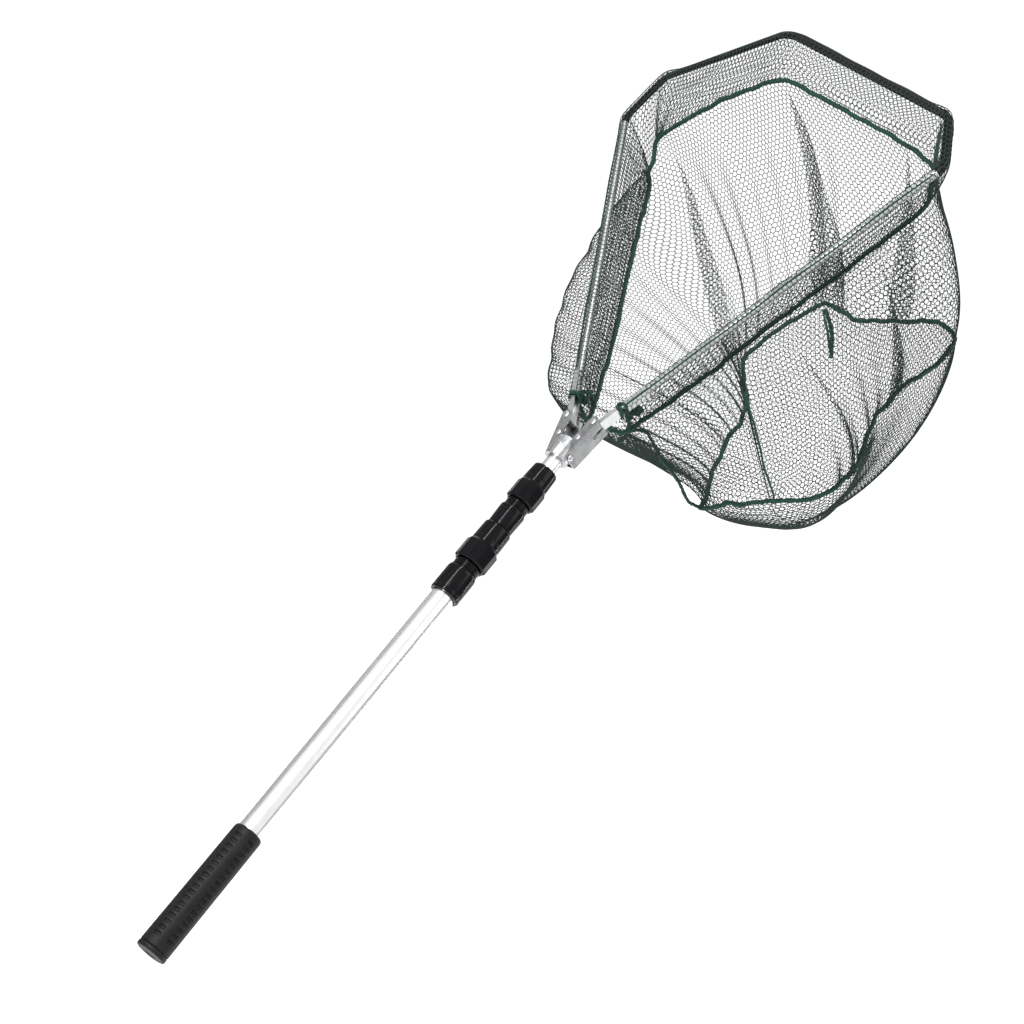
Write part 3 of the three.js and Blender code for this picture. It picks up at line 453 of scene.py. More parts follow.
# ------------------------------------------------------------------ arms
for side, s in (("right", 1), ("left", -1)):
    prof = [(3.0, 62.5), (4.0, 62.5)] + [(4.0, x) for x in np.linspace(64, 92, 15)] + [(4.0, ARM_LEN), (3.0, ARM_LEN)] + [(3.0, x) for x in np.linspace(92, 64, 15)]
    v, f = turned(prof, 64, None, True)
    k = 1 - sstep(v[:, 2], 64, 88)
    o = make(side + "_arm_tube_drawn", on_arm(s)(v), f, "arm", 40, fix=True)
    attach(o, side + "_arm")
    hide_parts(side + "_arm_tube")


# ------------------------------------------------------------------ the hoop's line
def arm(d, s):
    return np.array([d * math.cos(ARM), s * (19 + d * math.sin(ARM)), 0.0])


def fillet(p0, p1, p2, r, n):
    a = (p0 - p1) / np.linalg.norm(p0 - p1)
    b = (p2 - p1) / np.linalg.norm(p2 - p1)
    half = math.acos(a @ b) / 2
    d = r / math.tan(half)
    cc = (a + b) / np.linalg.norm(a + b) * (r / math.sin(half)) + p1
    s = p1 + a * d - cc
    e = p1 + b * d - cc
    an = math.acos((s @ e) / np.linalg.norm(s) / np.linalg.norm(e))
    return [s * math.sin((1 - i / n) * an) / math.sin(an) + e * math.sin(i / n * an) / math.sin(an) + cc for i in range(n + 1)]


def bow(s, n=(6, 10, 16)):
    cor = np.array([431.1, s * 194.0, 7.3])
    peak = np.array([459.7 + 1.6, 0, 67.7 + 3.6])
    oth = cor * [1, -1, 1]
    bi = fillet(arm(ARM_LEN - 40, s), arm(ARM_LEN + 9, s), cor, 14, n[0])
    be = fillet(arm(ARM_LEN + 9, s), cor, peak, 15, n[1])
    tp = fillet(cor, peak, oth, 46, n[2])
    return bi, be, tp


def hoopline():
    pts = [np.array([26.0, 0, -2]), np.array([27.0, -12, -2])]
    for d in [32, 45, 70, 100, 130, 160, 190, 220, 250, 280, 310, 340, 370, 400]:
        pts.append(arm(d, -1))
    bi, be, tp = bow(-1)
    pts += bi + be
    for k in (.15, .3, .45, .6, .75, .9):
        pts.append(be[-1] + (tp[0] - be[-1]) * k)
    pts += tp[:9]
    right = [p * np.array([1, -1, 1]) for p in pts[1:-1]][::-1]
    return np.array([to_row(p) for p in pts + right])


HP = hoopline()
_cl = np.concatenate([[0], np.cumsum(np.linalg.norm(np.roll(HP, -1, 0) - HP, axis=1))])
LOOP = _cl[-1]
AH = _cl / LOOP
N = 480
A = np.arange(N) / N


def around(x, xp, fp):
    x = np.mod(x, 1.0)
    return np.stack([np.interp(x, xp, fp[:, k]) for k in range(fp.shape[1])], -1)


P = around(A, AH, np.vstack([HP, HP[:1]]))


def smooth(F, n):
    k = np.hanning(2 * n + 3)[1:-1]
    k /= k.sum()
    G = np.concatenate([F[-n:], F, F[:n]])
    return np.stack([np.convolve(G[:, j], k, "valid") for j in range(F.shape[1])], -1)


def table(x, pts):
    xs = [p[0] for p in pts]
    ys = np.array([p[1:] for p in pts], float)
    return np.stack([np.interp(np.mod(x, 1.0), xs, ys[:, k]) for k in range(ys.shape[1])], -1)


T = np.roll(P, -3, 0) - np.roll(P, 3, 0)
TAN = T / np.linalg.norm(T, axis=1)[:, None]
nn = np.stack([-T[:, 1], T[:, 0], 0 * T[:, 0]], -1)
nn /= np.linalg.norm(nn, axis=1)[:, None]
sg = np.sign(((P - np.array([690, 0, 0])) * nn).sum(1))
OUT = smooth(nn * sg[:, None], 14)
OUT /= np.linalg.norm(OUT, axis=1)[:, None]
BASE_SEAM = [(0.00, 643, -20, 236), (0.05, 672, -4, 246), (0.10, 690, 4, 260), (0.16, 722, 14, 292), (0.22, 744, 13, 305),
             (0.28, 756, 20, 322), (0.33, 764, 34, 344), (0.37, 770, 38, 367), (0.41, 779, 22, 386), (0.45, 793, 2, 404),
             (0.48, 800, -18, 420), (0.51, 806, -40, 436), (0.56, 806, -80, 424), (0.60, 806, -125, 428),
             (0.645, 806, -190, 442), (0.675, 806, -218, 430), (0.70, 790, -212, 402), (0.735, 755, -196, 385),
             (0.775, 727, -180, 352), (0.82, 716, -168, 300), (0.86, 704, -152, 273), (0.90, 664, -130, 265),
             (0.94, 636, -100, 262), (0.97, 630, -60, 252), (1.00, 643, -20, 236)]
B = smooth(table(A, BASE_SEAM), 7)
HEM_SEAM = [(0, 4, 24), (0.03, 13, 33), (0.1, 22, 38), (0.2, 26, 42), (0.27, 30, 52), (0.33, 34, 68), (0.38, 20, 62),
            (0.43, 12, 48), (0.5, 8, 45), (0.6, 10, 44), (0.66, 12, 50), (0.69, 15, 36), (0.75, 19, 36), (0.93, 19, 38),
            (0.97, 10, 29), (1, 4, 24)]
hs = table(A, HEM_SEAM)
S = smooth(P - OUT * hs[:, :1] + np.array([0, 0, -1.0]) * hs[:, 1:2], 5)
PULL = smooth(table(A, [(0, 0, 0), (0.015, 20, 5), (0.04, 112, 10), (0.08, 182, 20), (0.14, 198, 30), (0.2, 190, 30), (0.25, 158, 30),
                        (0.3, 108, 30), (0.34, 62, 20), (0.4, 22, 10), (0.5, 14, 0), (0.6, 10, 8), (0.66, 8, 10), (0.70, 30, 20),
                        (0.76, 80, 30), (0.85, 100, 40), (0.93, 60, 25), (0.97, 10, 5), (1.0, 0, 0)]), 8)


def wall_grid(nq):
    q = np.linspace(0, 1, nq)[None, :, None]
    dz = (S[:, 2] - B[:, 2])[:, None]
    p1 = S + OUT * PULL[:, :1]
    p1[:, 2] -= 0.10 * dz[:, 0]
    p2 = B + OUT * PULL[:, 1:2]
    p2[:, 2] += 0.42 * dz[:, 0]
    g = S[:, None] * (1 - q) ** 3 + p1[:, None] * 3 * q * (1 - q) ** 2 + p2[:, None] * 3 * q * q * (1 - q) + B[:, None] * q ** 3
    z = g[..., 2]
    lim = 517 + (358 - z) * 1.03 - 9
    side = np.clip((np.abs(g[..., 1]) - 24) / 30, 0, 1)
    lim = np.where(z > 358, 508 - 90 * side * np.clip((z - 358) / 40, 0, 1), lim)
    d = g[..., 0] - lim
    g[..., 0] = lim + 0.5 * (d + np.sqrt(d * d + 14.0 ** 2))
    return g


MID = np.array([742., -46., 203.])
BELLY = smooth(table(A, [(0, 4, 6), (0.2, 0, 6), (0.5, 8, 14), (0.6, 17, 22), (0.66, 22, 22), (0.7, 25, 20), (0.75, 18, 17), (0.8, 10, 18),
                         (0.86, 4, 12), (0.93, 2, 8), (1, 4, 6)]), 10)


def base_grid(nr):
    r = np.linspace(0, 1, nr)[None, :]
    g = MID + (B - MID)[:, None] * (1 - r)[..., None]
    g[..., 2] = MID[2] + (B[:, 2] - MID[2])[:, None] * (1 - r) ** 1.35
    k = np.sin(np.pi * r ** 0.62)
    g[..., 0] += BELLY[:, :1] * k * 0.9
    g[..., 1] -= BELLY[:, :1] * k * 0.25
    g[..., 2] -= BELLY[:, 1:2] * k
    return g


def bend_at_corner(o):
    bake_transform(o)


for side, s in (("right", 1), ("left", -1)):
    bi, be, tp = bow(s, (14, 22, 40))
    pts = [arm(ARM_LEN + 0.3, s)] + bi + be
    for k in np.linspace(0.04, 0.96, 26):
        pts.append(be[-1] + (tp[0] - be[-1]) * k)
    pts += tp[:21]
    pts = np.array(pts)
    keepers = [0]
    for i in range(1, len(pts)):
        if np.linalg.norm(pts[i] - pts[keepers[-1]]) > 0.5:
            keepers.append(i)
    pts = pts[keepers]
    pts[-1] = pts[-1] + (pts[-2] - pts[-1]) / np.linalg.norm(pts[-2] - pts[-1]) * 0.2
    t = np.gradient(pts, axis=0)
    t /= np.linalg.norm(t, axis=1)[:, None]
    ac = np.cross(t, np.array([0, 0, 1.0]))
    ac /= np.linalg.norm(ac, axis=1)[:, None]
    up = np.cross(t, ac)
    sec = []
    for k in range(28):
        a = 2 * np.pi * k / 28
        c, d = math.cos(a), math.sin(a)
        sec.append((4.5 * np.sign(c) * abs(c) ** 0.55, 2.2 * np.sign(d) * abs(d) ** 0.75))
    vs, fs = [], []
    for i in range(len(pts)):
        for c, d in sec:
            # a shallow channel runs along the strap's broad faces
            dd = d * (1 - 0.10 * math.exp(-(c / 1.6) ** 2))
            vs.append(pts[i] + ac[i] * c + up[i] * dd)
    m = len(sec)
    for i in range(len(pts) - 1):
        for j in range(m):
            k = (j + 1) % m
            fs.append((i * m + j, i * m + k, (i + 1) * m + k, (i + 1) * m + j))
    fs.append(tuple(range(m)))
    fs.append(tuple((len(pts) - 1) * m + j for j in range(m)))
    vr = np.array([to_row(q) for q in vs])
    o = make(side + "_bow_strap", vr, fs, "bow", 40, fix=True)
    bend_at_corner(o)
    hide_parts(side + "_front_bow", side + "_bow_elbow")
    lathe(side + "_bow_socket", [(0, ARM_LEN - 22), (2.3, ARM_LEN - 22), (2.6, ARM_LEN - 20), (2.6, ARM_LEN + 0.4), (4.2, ARM_LEN + 0.4), (4.6, ARM_LEN + 1.0), (4.6, ARM_LEN + 4.5), (3.8, ARM_LEN + 8.5), (0, ARM_LEN + 10)],
          "bow", side + "_arm", place=on_arm(s), seg=48, rad=0.3)


# ------------------------------------------------------------------ netting
CELL = LOOP / 247.0
APO = CELL / 2
RAD = CELL / math.sqrt(3)
CORD = 0.39


def hexes(x0, x1, y0, y1, row0=0.0):
    """Centres and corners of hexagonal cells of a lattice fixed in the cloth."""
    dy = CELL * math.sqrt(3) / 2
    rows = np.arange(math.floor((y0 - row0) / dy) - 1, math.ceil((y1 - row0) / dy) + 2)
    cols = np.arange(math.floor(x0 / CELL) - 1, math.ceil(x1 / CELL) + 2)
    R, C = np.meshgrid(rows, cols, indexing="ij")
    x = (C + 0.5 * (R % 2)) * CELL
    y = R * dy + row0
    c = np.stack([x.ravel(), y.ravel()], 1)
    ang = np.radians(90 + 60 * np.arange(6))
    corner = c[:, None] + RAD * np.stack([np.cos(ang), np.sin(ang)], 1)[None]
    return c, corner


def net_mesh(centres, corners, surface, r=CORD, thick=1.05):
    """Twine cells: surface(xy) gives points and unit normals in mm."""
    n = len(centres)
    key = np.round(corners.reshape(-1, 2) * 50).astype(np.int64)
    uniq, first, inv = np.unique(key, axis=0, return_index=True, return_inverse=True)
    inv = inv.reshape(n, 6)
    J = corners.reshape(-1, 2)[first]
    I = (centres[:, None] + (corners - centres[:, None]) * (1 - r / APO)).reshape(-1, 2)
    pj, nj = surface(J)
    pi, _ = surface(I)
    knot = 1.22
    top = pj + nj * r * thick * knot
    bot = pj - nj * r * thick * knot
    verts = np.vstack([top, bot, pi])
    nj_ = len(J)
    ids = (2 * nj_ + np.arange(n * 6)).reshape(n, 6)
    k1 = np.roll(inv, -1, 1)
    i1 = np.roll(ids, -1, 1)
    f1 = np.stack([inv, k1, i1, ids], -1).reshape(-1, 4)
    f2 = np.stack([k1 + nj_, inv + nj_, ids, i1], -1).reshape(-1, 4)
    return verts, np.vstack([f1, f2])


def net_piece(name, verts, faces, mat="net"):
    me = bpy.data.meshes.new(name)
    nv, nf = len(verts), len(faces)
    me.vertices.add(nv)
    me.vertices.foreach_set("co", (verts * MM).astype(np.float32).ravel())
    me.loops.add(nf * 4)
    me.loops.foreach_set("vertex_index", faces.astype(np.int32).ravel())
    me.polygons.add(nf)
    me.polygons.foreach_set("loop_start", (np.arange(nf) * 4).astype(np.int32))
    me.polygons.foreach_set("loop_total", np.full(nf, 4, np.int32))
    me.update(calc_edges=True)
    me.validate()
    me.shade_smooth()
    o = bpy.data.objects.new(name, me)
    bpy.context.scene.collection.objects.link(o)
    me.materials.append(M[mat])
    return o


def noise2(x, y, seed, n=7, low=0.6, high=2.2):
    g = np.random.default_rng(seed)
    x, y = np.broadcast_arrays(np.asarray(x, float), np.asarray(y, float))
    out = np.zeros(x.shape)
    for _ in range(n):
        a = g.uniform(0, 2 * np.pi)
        k = g.uniform(low, high)
        out += np.sin(k * (x * math.cos(a) + y * math.sin(a)) + g.uniform(0, 6.28)) / n
    return out


NQ = 96
G0 = wall_grid(240)
_d = np.linalg.norm(np.diff(G0, axis=1), axis=2)
DEPTH = _d.sum(1)
_c = np.concatenate([np.zeros((N, 1)), np.cumsum(_d, 1)], 1)
G = np.zeros((N, NQ, 3))
for i in range(N):
    x = np.linspace(0, DEPTH[i], NQ)
    for k in range(3):
        G[i, :, k] = np.interp(x, _c[i], G0[i, :, k])


def grid_normals(g, wrap=True):
    da = np.roll(g, -1, 0) - np.roll(g, 1, 0)
    dq = np.gradient(g, axis=1)
    n = np.cross(da, dq)
    n /= np.linalg.norm(n, axis=2)[..., None] + 1e-9
    return n, np.linalg.norm(da, axis=2) * N / 2


NG, WID = grid_normals(G)
comp = np.clip(WID / LOOP, 0.3, 1.5)
comp = np.stack([smooth(comp[:, [j]], 9)[:, 0] for j in range(NQ)], 1)
lam = 41.0
amp = lam / math.pi * np.sqrt(np.clip(1 / comp - 1, 0, 3)) * 0.36
qq = np.linspace(0, 1, NQ)[None, :]
dd = qq * DEPTH[:, None]
ss = A[:, None] * LOOP
phase = 2 * np.pi * ss / lam + 2.6 * noise2(ss / 70, dd / 160, 3)
amp = np.clip(amp, 0, 4.2) * (0.55 + 0.55 * noise2(ss / 60, dd / 90, 5)) * sstep(dd, 12, 90) * (1 - 0.55 * sstep(qq, 0.9, 1.0))
rip = amp * np.sin(phase) + 2.2 * noise2(ss / 26, dd / 30, 9) * sstep(dd, 5, 40)
G = G + NG * rip[..., None]
NG, _ = grid_normals(G)
GP = np.concatenate([G, G[:1]])
NP = np.concatenate([NG, NG[:1]])
DP = np.concatenate([DEPTH, DEPTH[:1]])


def sample(grid, a, q):
    x = np.mod(a, 1.0) * N
    i = np.floor(x).astype(int) % N
    u = (x - np.floor(x))[:, None]
    y = np.clip(q, 0, 1) * (grid.shape[1] - 1)
    j = np.clip(np.floor(y).astype(int), 0, grid.shape[1] - 2)
    v = (y - j)[:, None]
    return (grid[i, j] * (1 - u) * (1 - v) + grid[i + 1, j] * u * (1 - v) + grid[i, j + 1] * (1 - u) * v + grid[i + 1, j + 1] * u * v)


# tucks that widen downwards: [share at the hem seam, share at the base seam, half width of cloth that feeds it, fold, depth share it starts at]
TUCKS = [(0.365, 0.306, 120, 36, 0.10), (0.500, 0.522, 120, 46, 0.05), (0.617, 0.612, 70, 20, 0.02), (0.748, 0.752, 90, 24, 0.1),
         (0.14, 0.15, 90, 16, 0.25), (0.835, 0.83, 80, 20, 0.2)]


def depth_at(a):
    return np.interp(np.mod(a, 1.0) * N, np.arange(N + 1), DP)


def wall_surface(xy):
    a = xy[:, 0] / LOOP
    q = xy[:, 1] / depth_at(a)
    qc = np.clip(q, 0, 1)
    shift = np.zeros(len(a))
    off = np.zeros(len(a))
    for a0, a1, half, fold, q0 in TUCKS:
        c = a0 + (a1 - a0) * qc
        u = (np.mod(a - c + 0.5, 1.0) - 0.5) * LOOP
        inside = np.abs(u) < half
        f = fold * np.clip((qc - q0) / 0.75, 0, 1) + 1e-3
        s = half / (half - f)
        au = np.abs(u)
        outer = half - s * (half - au)
        F = np.where(au > f / 2, np.sign(u) * outer, -s * u)
        shift += np.where(inside, (F - u) / LOOP, 0)
        g = np.where(au > f / 2, np.sign(u) * (1 - (au - f / 2) / (half - f / 2)), u / (f / 2))
        off -= np.where(inside, 2.8 * np.clip(f / 10, 0, 1) * g, 0)
    p = sample(GP, a + shift, q)
    n = sample(NP, a + shift, q)
    n /= np.linalg.norm(n, axis=1)[:, None] + 1e-9
    over = np.clip(xy[:, 1] - depth_at(a), 0, 12)
    p = p + n * off[:, None] - np.array([0, 0, 1.0]) * over[:, None] * 0.5
    return p, n


def net_blend(o):
    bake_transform(o)


cells, corners = hexes(0, LOOP, 0, 340)
aa = cells[:, 0] / LOOP
ok = (aa > 0.0) & (aa <= 1.0) & (cells[:, 1] > -1.0) & (cells[:, 1] < depth_at(aa) - 0.5)
cells, corners, aa = cells[ok], corners[ok], aa[ok]
AC = 0.352
parts = {"net_wall_left": (0.0, AC), "net_front_left": (AC, 0.5), "net_front_right": (0.5, 1 - AC), "net_wall_right": (1 - AC, 1.0)}
wall_objects = {}
for name, (lo, hi) in parts.items():
    m = (aa > lo) & (aa <= hi)
    v, f = net_mesh(cells[m], corners[m], wall_surface)
    o = net_piece(name, v, f)
    side = "left" if "left" in name else "right"
    y = 1 if side == "left" else -1
    if "wall" in name:
        net_blend(o)
    else:
        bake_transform(o)
    sel = (A > lo) & (A <= hi)
    w = (hi - lo) * LOOP
    l = DEPTH[sel].max()
    area = DEPTH[sel].mean() * w
    wall_objects[name] = o

# ------------------------------------------------------------------ base of the bag
NR = 64
R0 = base_grid(160)
_d = np.linalg.norm(np.diff(R0, axis=1), axis=2)
RLEN = _d.sum(1)
_c = np.concatenate([np.zeros((N, 1)), np.cumsum(_d, 1)], 1)
R1 = np.zeros((N, NR, 3))
for i in range(N):
    x = np.linspace(0, RLEN[i], NR)
    for k in range(3):
        R1[i, :, k] = np.interp(x, _c[i], R0[i, :, k])
rel = B[:, :2] - MID[:2]
phi = np.unwrap(np.arctan2(rel[:, 1], rel[:, 0]))
seg = np.linalg.norm(np.roll(B, -1, 0) - B, axis=1)
share = np.concatenate([[0], np.cumsum(seg)])
share = share / share[-1] * 2 * np.pi
nb, _ = grid_normals(R1)
flip = np.sign((nb * np.array([0, 0, 1.0])).sum(2).mean())
rr = np.linspace(0, 1, NR)[None, :]
R1 = R1 + nb * (2.6 * noise2(R1[..., 0] / 24, R1[..., 1] / 24, 21) * np.sin(np.pi * np.clip(rr, 0, 1)) ** 0.5)[..., None]
R1[:, -1] = R1[:, -1].mean(0)
nb, _ = grid_normals(R1)
nb[:, -6:] = np.array([0, 0, 1.0]) * flip
RP = np.concatenate([R1, R1[:1]])
NBP = np.concatenate([nb, nb[:1]])
RL = smooth(RLEN[:, None], 12)[:, 0]
RLP = np.concatenate([RL, RL[:1]])


def base_surface(xy):
    ph = np.mod(np.arctan2(xy[:, 1], xy[:, 0]), 2 * np.pi)
    rho = np.hypot(xy[:, 0], xy[:, 1])
    st = np.interp(ph, share, np.arange(N + 1))
    rl = np.interp(st, np.arange(N + 1), RLP)
    r = 1 - rho / rl
    p = sample(RP, st / N, r)
    n = sample(NBP, st / N, r)
    n /= np.linalg.norm(n, axis=1)[:, None] + 1e-9
    over = np.clip(rho - rl, 0, 8)
    p = p + np.array([0, 0, 1.0]) * over[:, None] * 0.5
    return p, n


cells, corners = hexes(-330, 330, -330, 330)
ph = np.mod(np.arctan2(cells[:, 1], cells[:, 0]), 2 * np.pi)
rho = np.hypot(cells[:, 0], cells[:, 1])
rl = np.interp(np.interp(ph, share, np.arange(N + 1)), np.arange(N + 1), RLP)
ok = rho < rl - 0.5
cells, corners = cells[ok], corners[ok]
pc, _ = base_surface(cells)
for side in ("left", "right"):
    m = pc[:, 1] > -15 if side == "left" else pc[:, 1] <= -15
    v, f = net_mesh(cells[m], corners[m], base_surface)
    o = net_piece("net_base_" + side, v, f)
    net_blend(o)
    x, y = cells[m].T
    w, l = x.max() - x.min() + CELL, y.max() - y.min() + CELL
    q3, _ = base_surface(corners[m].reshape(-1, 2))
    q3 = q3.reshape(-1, 6, 3)
    wall_objects["base_" + side] = o

# ------------------------------------------------------------------ sleeve of mesh round the hoop
PS = smooth(P, 2)
TS = np.roll(PS, -2, 0) - np.roll(PS, 2, 0)
TS /= np.linalg.norm(TS, axis=1)[:, None]
E = S - PS
E = E - TS * (E * TS).sum(1)[:, None]
HW = np.linalg.norm(E, axis=1)
E = smooth(E / HW[:, None], 3)
E /= np.linalg.norm(E, axis=1)[:, None]
SIDE = np.cross(TS, E)
SIDE /= np.linalg.norm(SIDE, axis=1)[:, None]
SLANT = smooth(((S - PS) * TS).sum(1)[:, None], 3)[:, 0]
HW = smooth(HW[:, None], 3)[:, 0]


def per_station(F, a):
    x = np.mod(a, 1.0) * N
    i = np.floor(x).astype(int) % N
    u = x - np.floor(x)
    j = (i + 1) % N
    if F.ndim == 1:
        return F[i] * (1 - u) + F[j] * u
    return F[i] * (1 - u)[:, None] + F[j] * u[:, None]


def rho_at(a):
    near = np.minimum(a, 1 - a)
    return 5.6 + 2.2 * sstep(near, 0.34, 0.37)


def sleeve_surface(xy):
    a = np.clip(xy[:, 0] / LOOP, 0, 1)
    t = xy[:, 1]
    r = rho_at(a) + 0.9 * noise2(xy[:, 0] / 14, t / 40, 31)
    arc = r * np.pi / 2
    hw = per_station(HW, a)
    e = per_station(E, a)
    sd = per_station(SIDE, a)
    tn = per_station(TS, a)
    p0 = per_station(PS, a)
    front = sstep(np.minimum(a, 1 - a), 0.352, 0.375)[:, None]
    p0 = p0 - W * 8.5 * front * np.exp(-np.clip(np.abs(t), 0, 60) / 16)[:, None]
    sl = per_station(SLANT, a)
    sign = np.sign(t) + (t == 0)
    at = np.abs(t)
    ang = np.clip(at / arc, 0, 1) * np.pi / 2
    x = np.clip(at - arc, 0, None)
    f = np.clip(x / hw, 0, 1.1)
    wide = r * (1 - f) + 3.5 * np.sin(np.pi * np.clip(f, 0, 1)) * (0.7 + 0.8 * noise2(xy[:, 0] / 22, t / 30 + sign * 3, 37)) + 0.9
    curved = at < arc
    down = np.where(curved, -r * np.cos(ang), x)
    outw = np.where(curved, r * np.sin(ang), wide)
    n_down = np.where(curved, -np.cos(ang), 0.08)
    n_out = np.where(curved, np.sin(ang), 1.0)
    p = p0 + e * down[:, None] + sd * (sign * outw)[:, None] + tn * (sl * f)[:, None]
    n = e * n_down[:, None] + sd * (sign * n_out)[:, None]
    n /= np.linalg.norm(n, axis=1)[:, None] + 1e-9
    return p, n


cells, corners = hexes(0, LOOP, -100, 100)
aa = cells[:, 0] / LOOP
HALF = per_station(HW, aa) + rho_at(aa) * np.pi / 2
A_IN = 0.024
ok = (np.abs(cells[:, 1]) < HALF - 1.5) & (aa > A_IN) & (aa < 1 - A_IN)
cells, corners, aa = cells[ok], corners[ok], aa[ok]
for name, (lo, hi) in {"sleeve_left": (A_IN, AC), "sleeve_front_left": (AC, 0.5), "sleeve_front_right": (0.5, 1 - AC), "sleeve_right": (1 - AC, 1 - A_IN)}.items():
    m = (aa > lo) & (aa <= hi)
    v, f = net_mesh(cells[m], corners[m], sleeve_surface, r=0.38)
    o = net_piece(name, v, f, "sleeve")
    side = "left" if "left" in name else "right"
    s = -1 if side == "left" else 1
    if "front" in name:
        bend_at_corner(o)
    else:
        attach(o, side + "_arm")
    w = (hi - lo) * LOOP
    sel = (A > lo) & (A <= hi)
    wall_objects[name] = o

# ------------------------------------------------------------------ seam cords
SP = np.concatenate([S, S[:1]])


def wander(points, amount, seed):
    p = resample(points, 4.0)
    g = np.random.default_rng(seed)
    k = g.standard_normal((len(p), 3))
    for _ in range(3):
        k[1:-1] = (k[:-2] + 2 * k[1:-1] + k[2:]) / 4
    k *= amount
    k[0] = k[-1] = 0
    return p + k


def seam(name, line, lo, hi, r=2.35, amount=1.1, seed=1):
    i0, i1 = int(round(lo * N)), int(round(hi * N))
    pts = line[i0:i1 + 1]
    return cord_piece(name, wander(pts, amount, seed), r)


o = seam("hem_cord_left", SP, 0.022, AC, seed=2)
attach(o, "left_arm")
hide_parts("hem_seam_cord", "net_hem")
o = seam("hem_cord_front_left", SP, AC, 0.5, seed=3)
bend_at_corner(o)
o = seam("hem_cord_front_right", SP, 0.5, 1 - AC, seed=4)
bend_at_corner(o)
o = seam("hem_cord_right", SP, 1 - AC, 0.978, seed=5)
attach(o, "right_arm")
rear = np.concatenate([SP[int(0.975 * N):N], SP[:int(0.026 * N)]])
o = cord_piece("hem_cord_rear", wander(rear, 0.8, 6), 2.2)
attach(o, "handle_inner")
BP = np.concatenate([B, B[:1]])
o = seam("base_cord_left", BP, 0.0, 0.5, r=2.35, amount=2.0, seed=7)
net_blend(o)
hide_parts("base_seam_cord", *[n for n in nodes if n.startswith("net_") and n != "net_hem"])
o = seam("base_cord_right", BP, 0.5, 1.0, r=2.35, amount=2.0, seed=8)
net_blend(o)
# seam up the back of the bag, from the bracket to the base seam
back = spline([(530, -10, 338), (540, -22, 341), (552, -28, 338), (565, -26, 323), (580, -24, 303), (609, -21, 274), (624, -20, 249), (643, -20, 237)], 2.0)
o = cord_piece("back_cord", wander(back, 1.0, 9), 1.7)
net_blend(o)
# hidden side seam in the right wall: a gathered branch that joins the base seam
branch = []
for a, q in [(0.880, 0.22), (0.893, 0.36), (0.905, 0.52), (0.915, 0.66), (0.920, 0.80), (0.9215, 0.92), (0.922, 1.0)]:
    branch.append(sample(GP, np.array([a]), np.array([q]))[0])
o = cord_piece("gather_cord", wander(spline(branch, 2.0), 1.0, 10), 1.15)
net_blend(o)
# thin cords that run along the arms inside the sleeve, and lashings at the arms' roots
for side, s in (("left", -1), ("right", 1)):
    line = []
    for d in np.arange(34, 414, 6.0):
        line.append((4.6 + 0.5 * math.sin(d / 17), 3.4 + 0.6 * math.sin(d / 23 + 1), d))
    o = cord_piece(side + "_arm_line", on_arm(s)(np.array(line)), 0.8, step=2.0, sides=8, fuzz=0.08, lay=5)
    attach(o, side + "_arm")
    coil = []
    for k in np.linspace(0.4, 2.7 * 2 * np.pi, 110):
        rr_ = 7.4 + 0.7 * math.sin(1.7 * k + s)
        coil.append((rr_ * math.cos(k), (4.8 + 0.7 * math.sin(1.3 * k)) * math.sin(k), 27 + k * 0.42 + 2.6 * math.sin(1.45 * k + s)))
    o = cord_piece(side + "_lashing", on_arm(s)(np.array(coil)), 1.45, step=1.2, sides=9, fuzz=0.12, lay=6)
    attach(o, side + "_arm")
    end = SP[int(0.024 * N)] if side == "left" else SP[int(0.976 * N)]
    a0 = on_arm(s)(np.array([[-6.5, 2.0, 32.0]]))[0]
    tie = spline([a0, a0 * 0.6 + end * 0.4 + np.array([3, 0, -6]), end + np.array([0, 0, 1.0])], 1.5)
    o = cord_piece(side + "_tie", tie, 1.9)
    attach(o, side + "_arm")
for side, s in (("left", -1), ("right", 1)):
    g = np.random.default_rng(40 + s)
    for k in range(3):
        c0 = on_arm(s)(np.array([[-7.0 - 3 * k, 1.5 - 2.0 * k, 31.0 + 6 * k]]))[0]
        pts_ = [c0 + g.uniform(-1, 1, 3) * np.array([7, 6, 8]) for _ in range(7)]
        o = cord_piece(f"{side}_bunch_{k}", spline(pts_, 1.4), 1.7, step=1.2, sides=8, fuzz=0.18, lay=7)
        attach(o, side + "_arm")
# a short tuft of gathered twine under the right arm and its tail
p0 = sample(GP, np.array([0.8]), np.array([0.16]))[0]
p1 = sample(GP, np.array([0.815]), np.array([0.36]))[0]
for k, (dx, dy) in enumerate([(0, 0), (3.0, 1.5), (-2.6, 1.0)]):
    a = p0 + np.array([dx, dy, 0])
    mid_ = (p0 + p1) / 2 + np.array([dx * 1.4, dy - 3.0, 2.0])
    o = cord_piece(f"tuft_{k}", spline([a, mid_, p1 + np.array([dx * 0.3, 0, 0])], 1.6), 1.15, sides=8, lay=4, fuzz=0.2)
    net_blend(o)

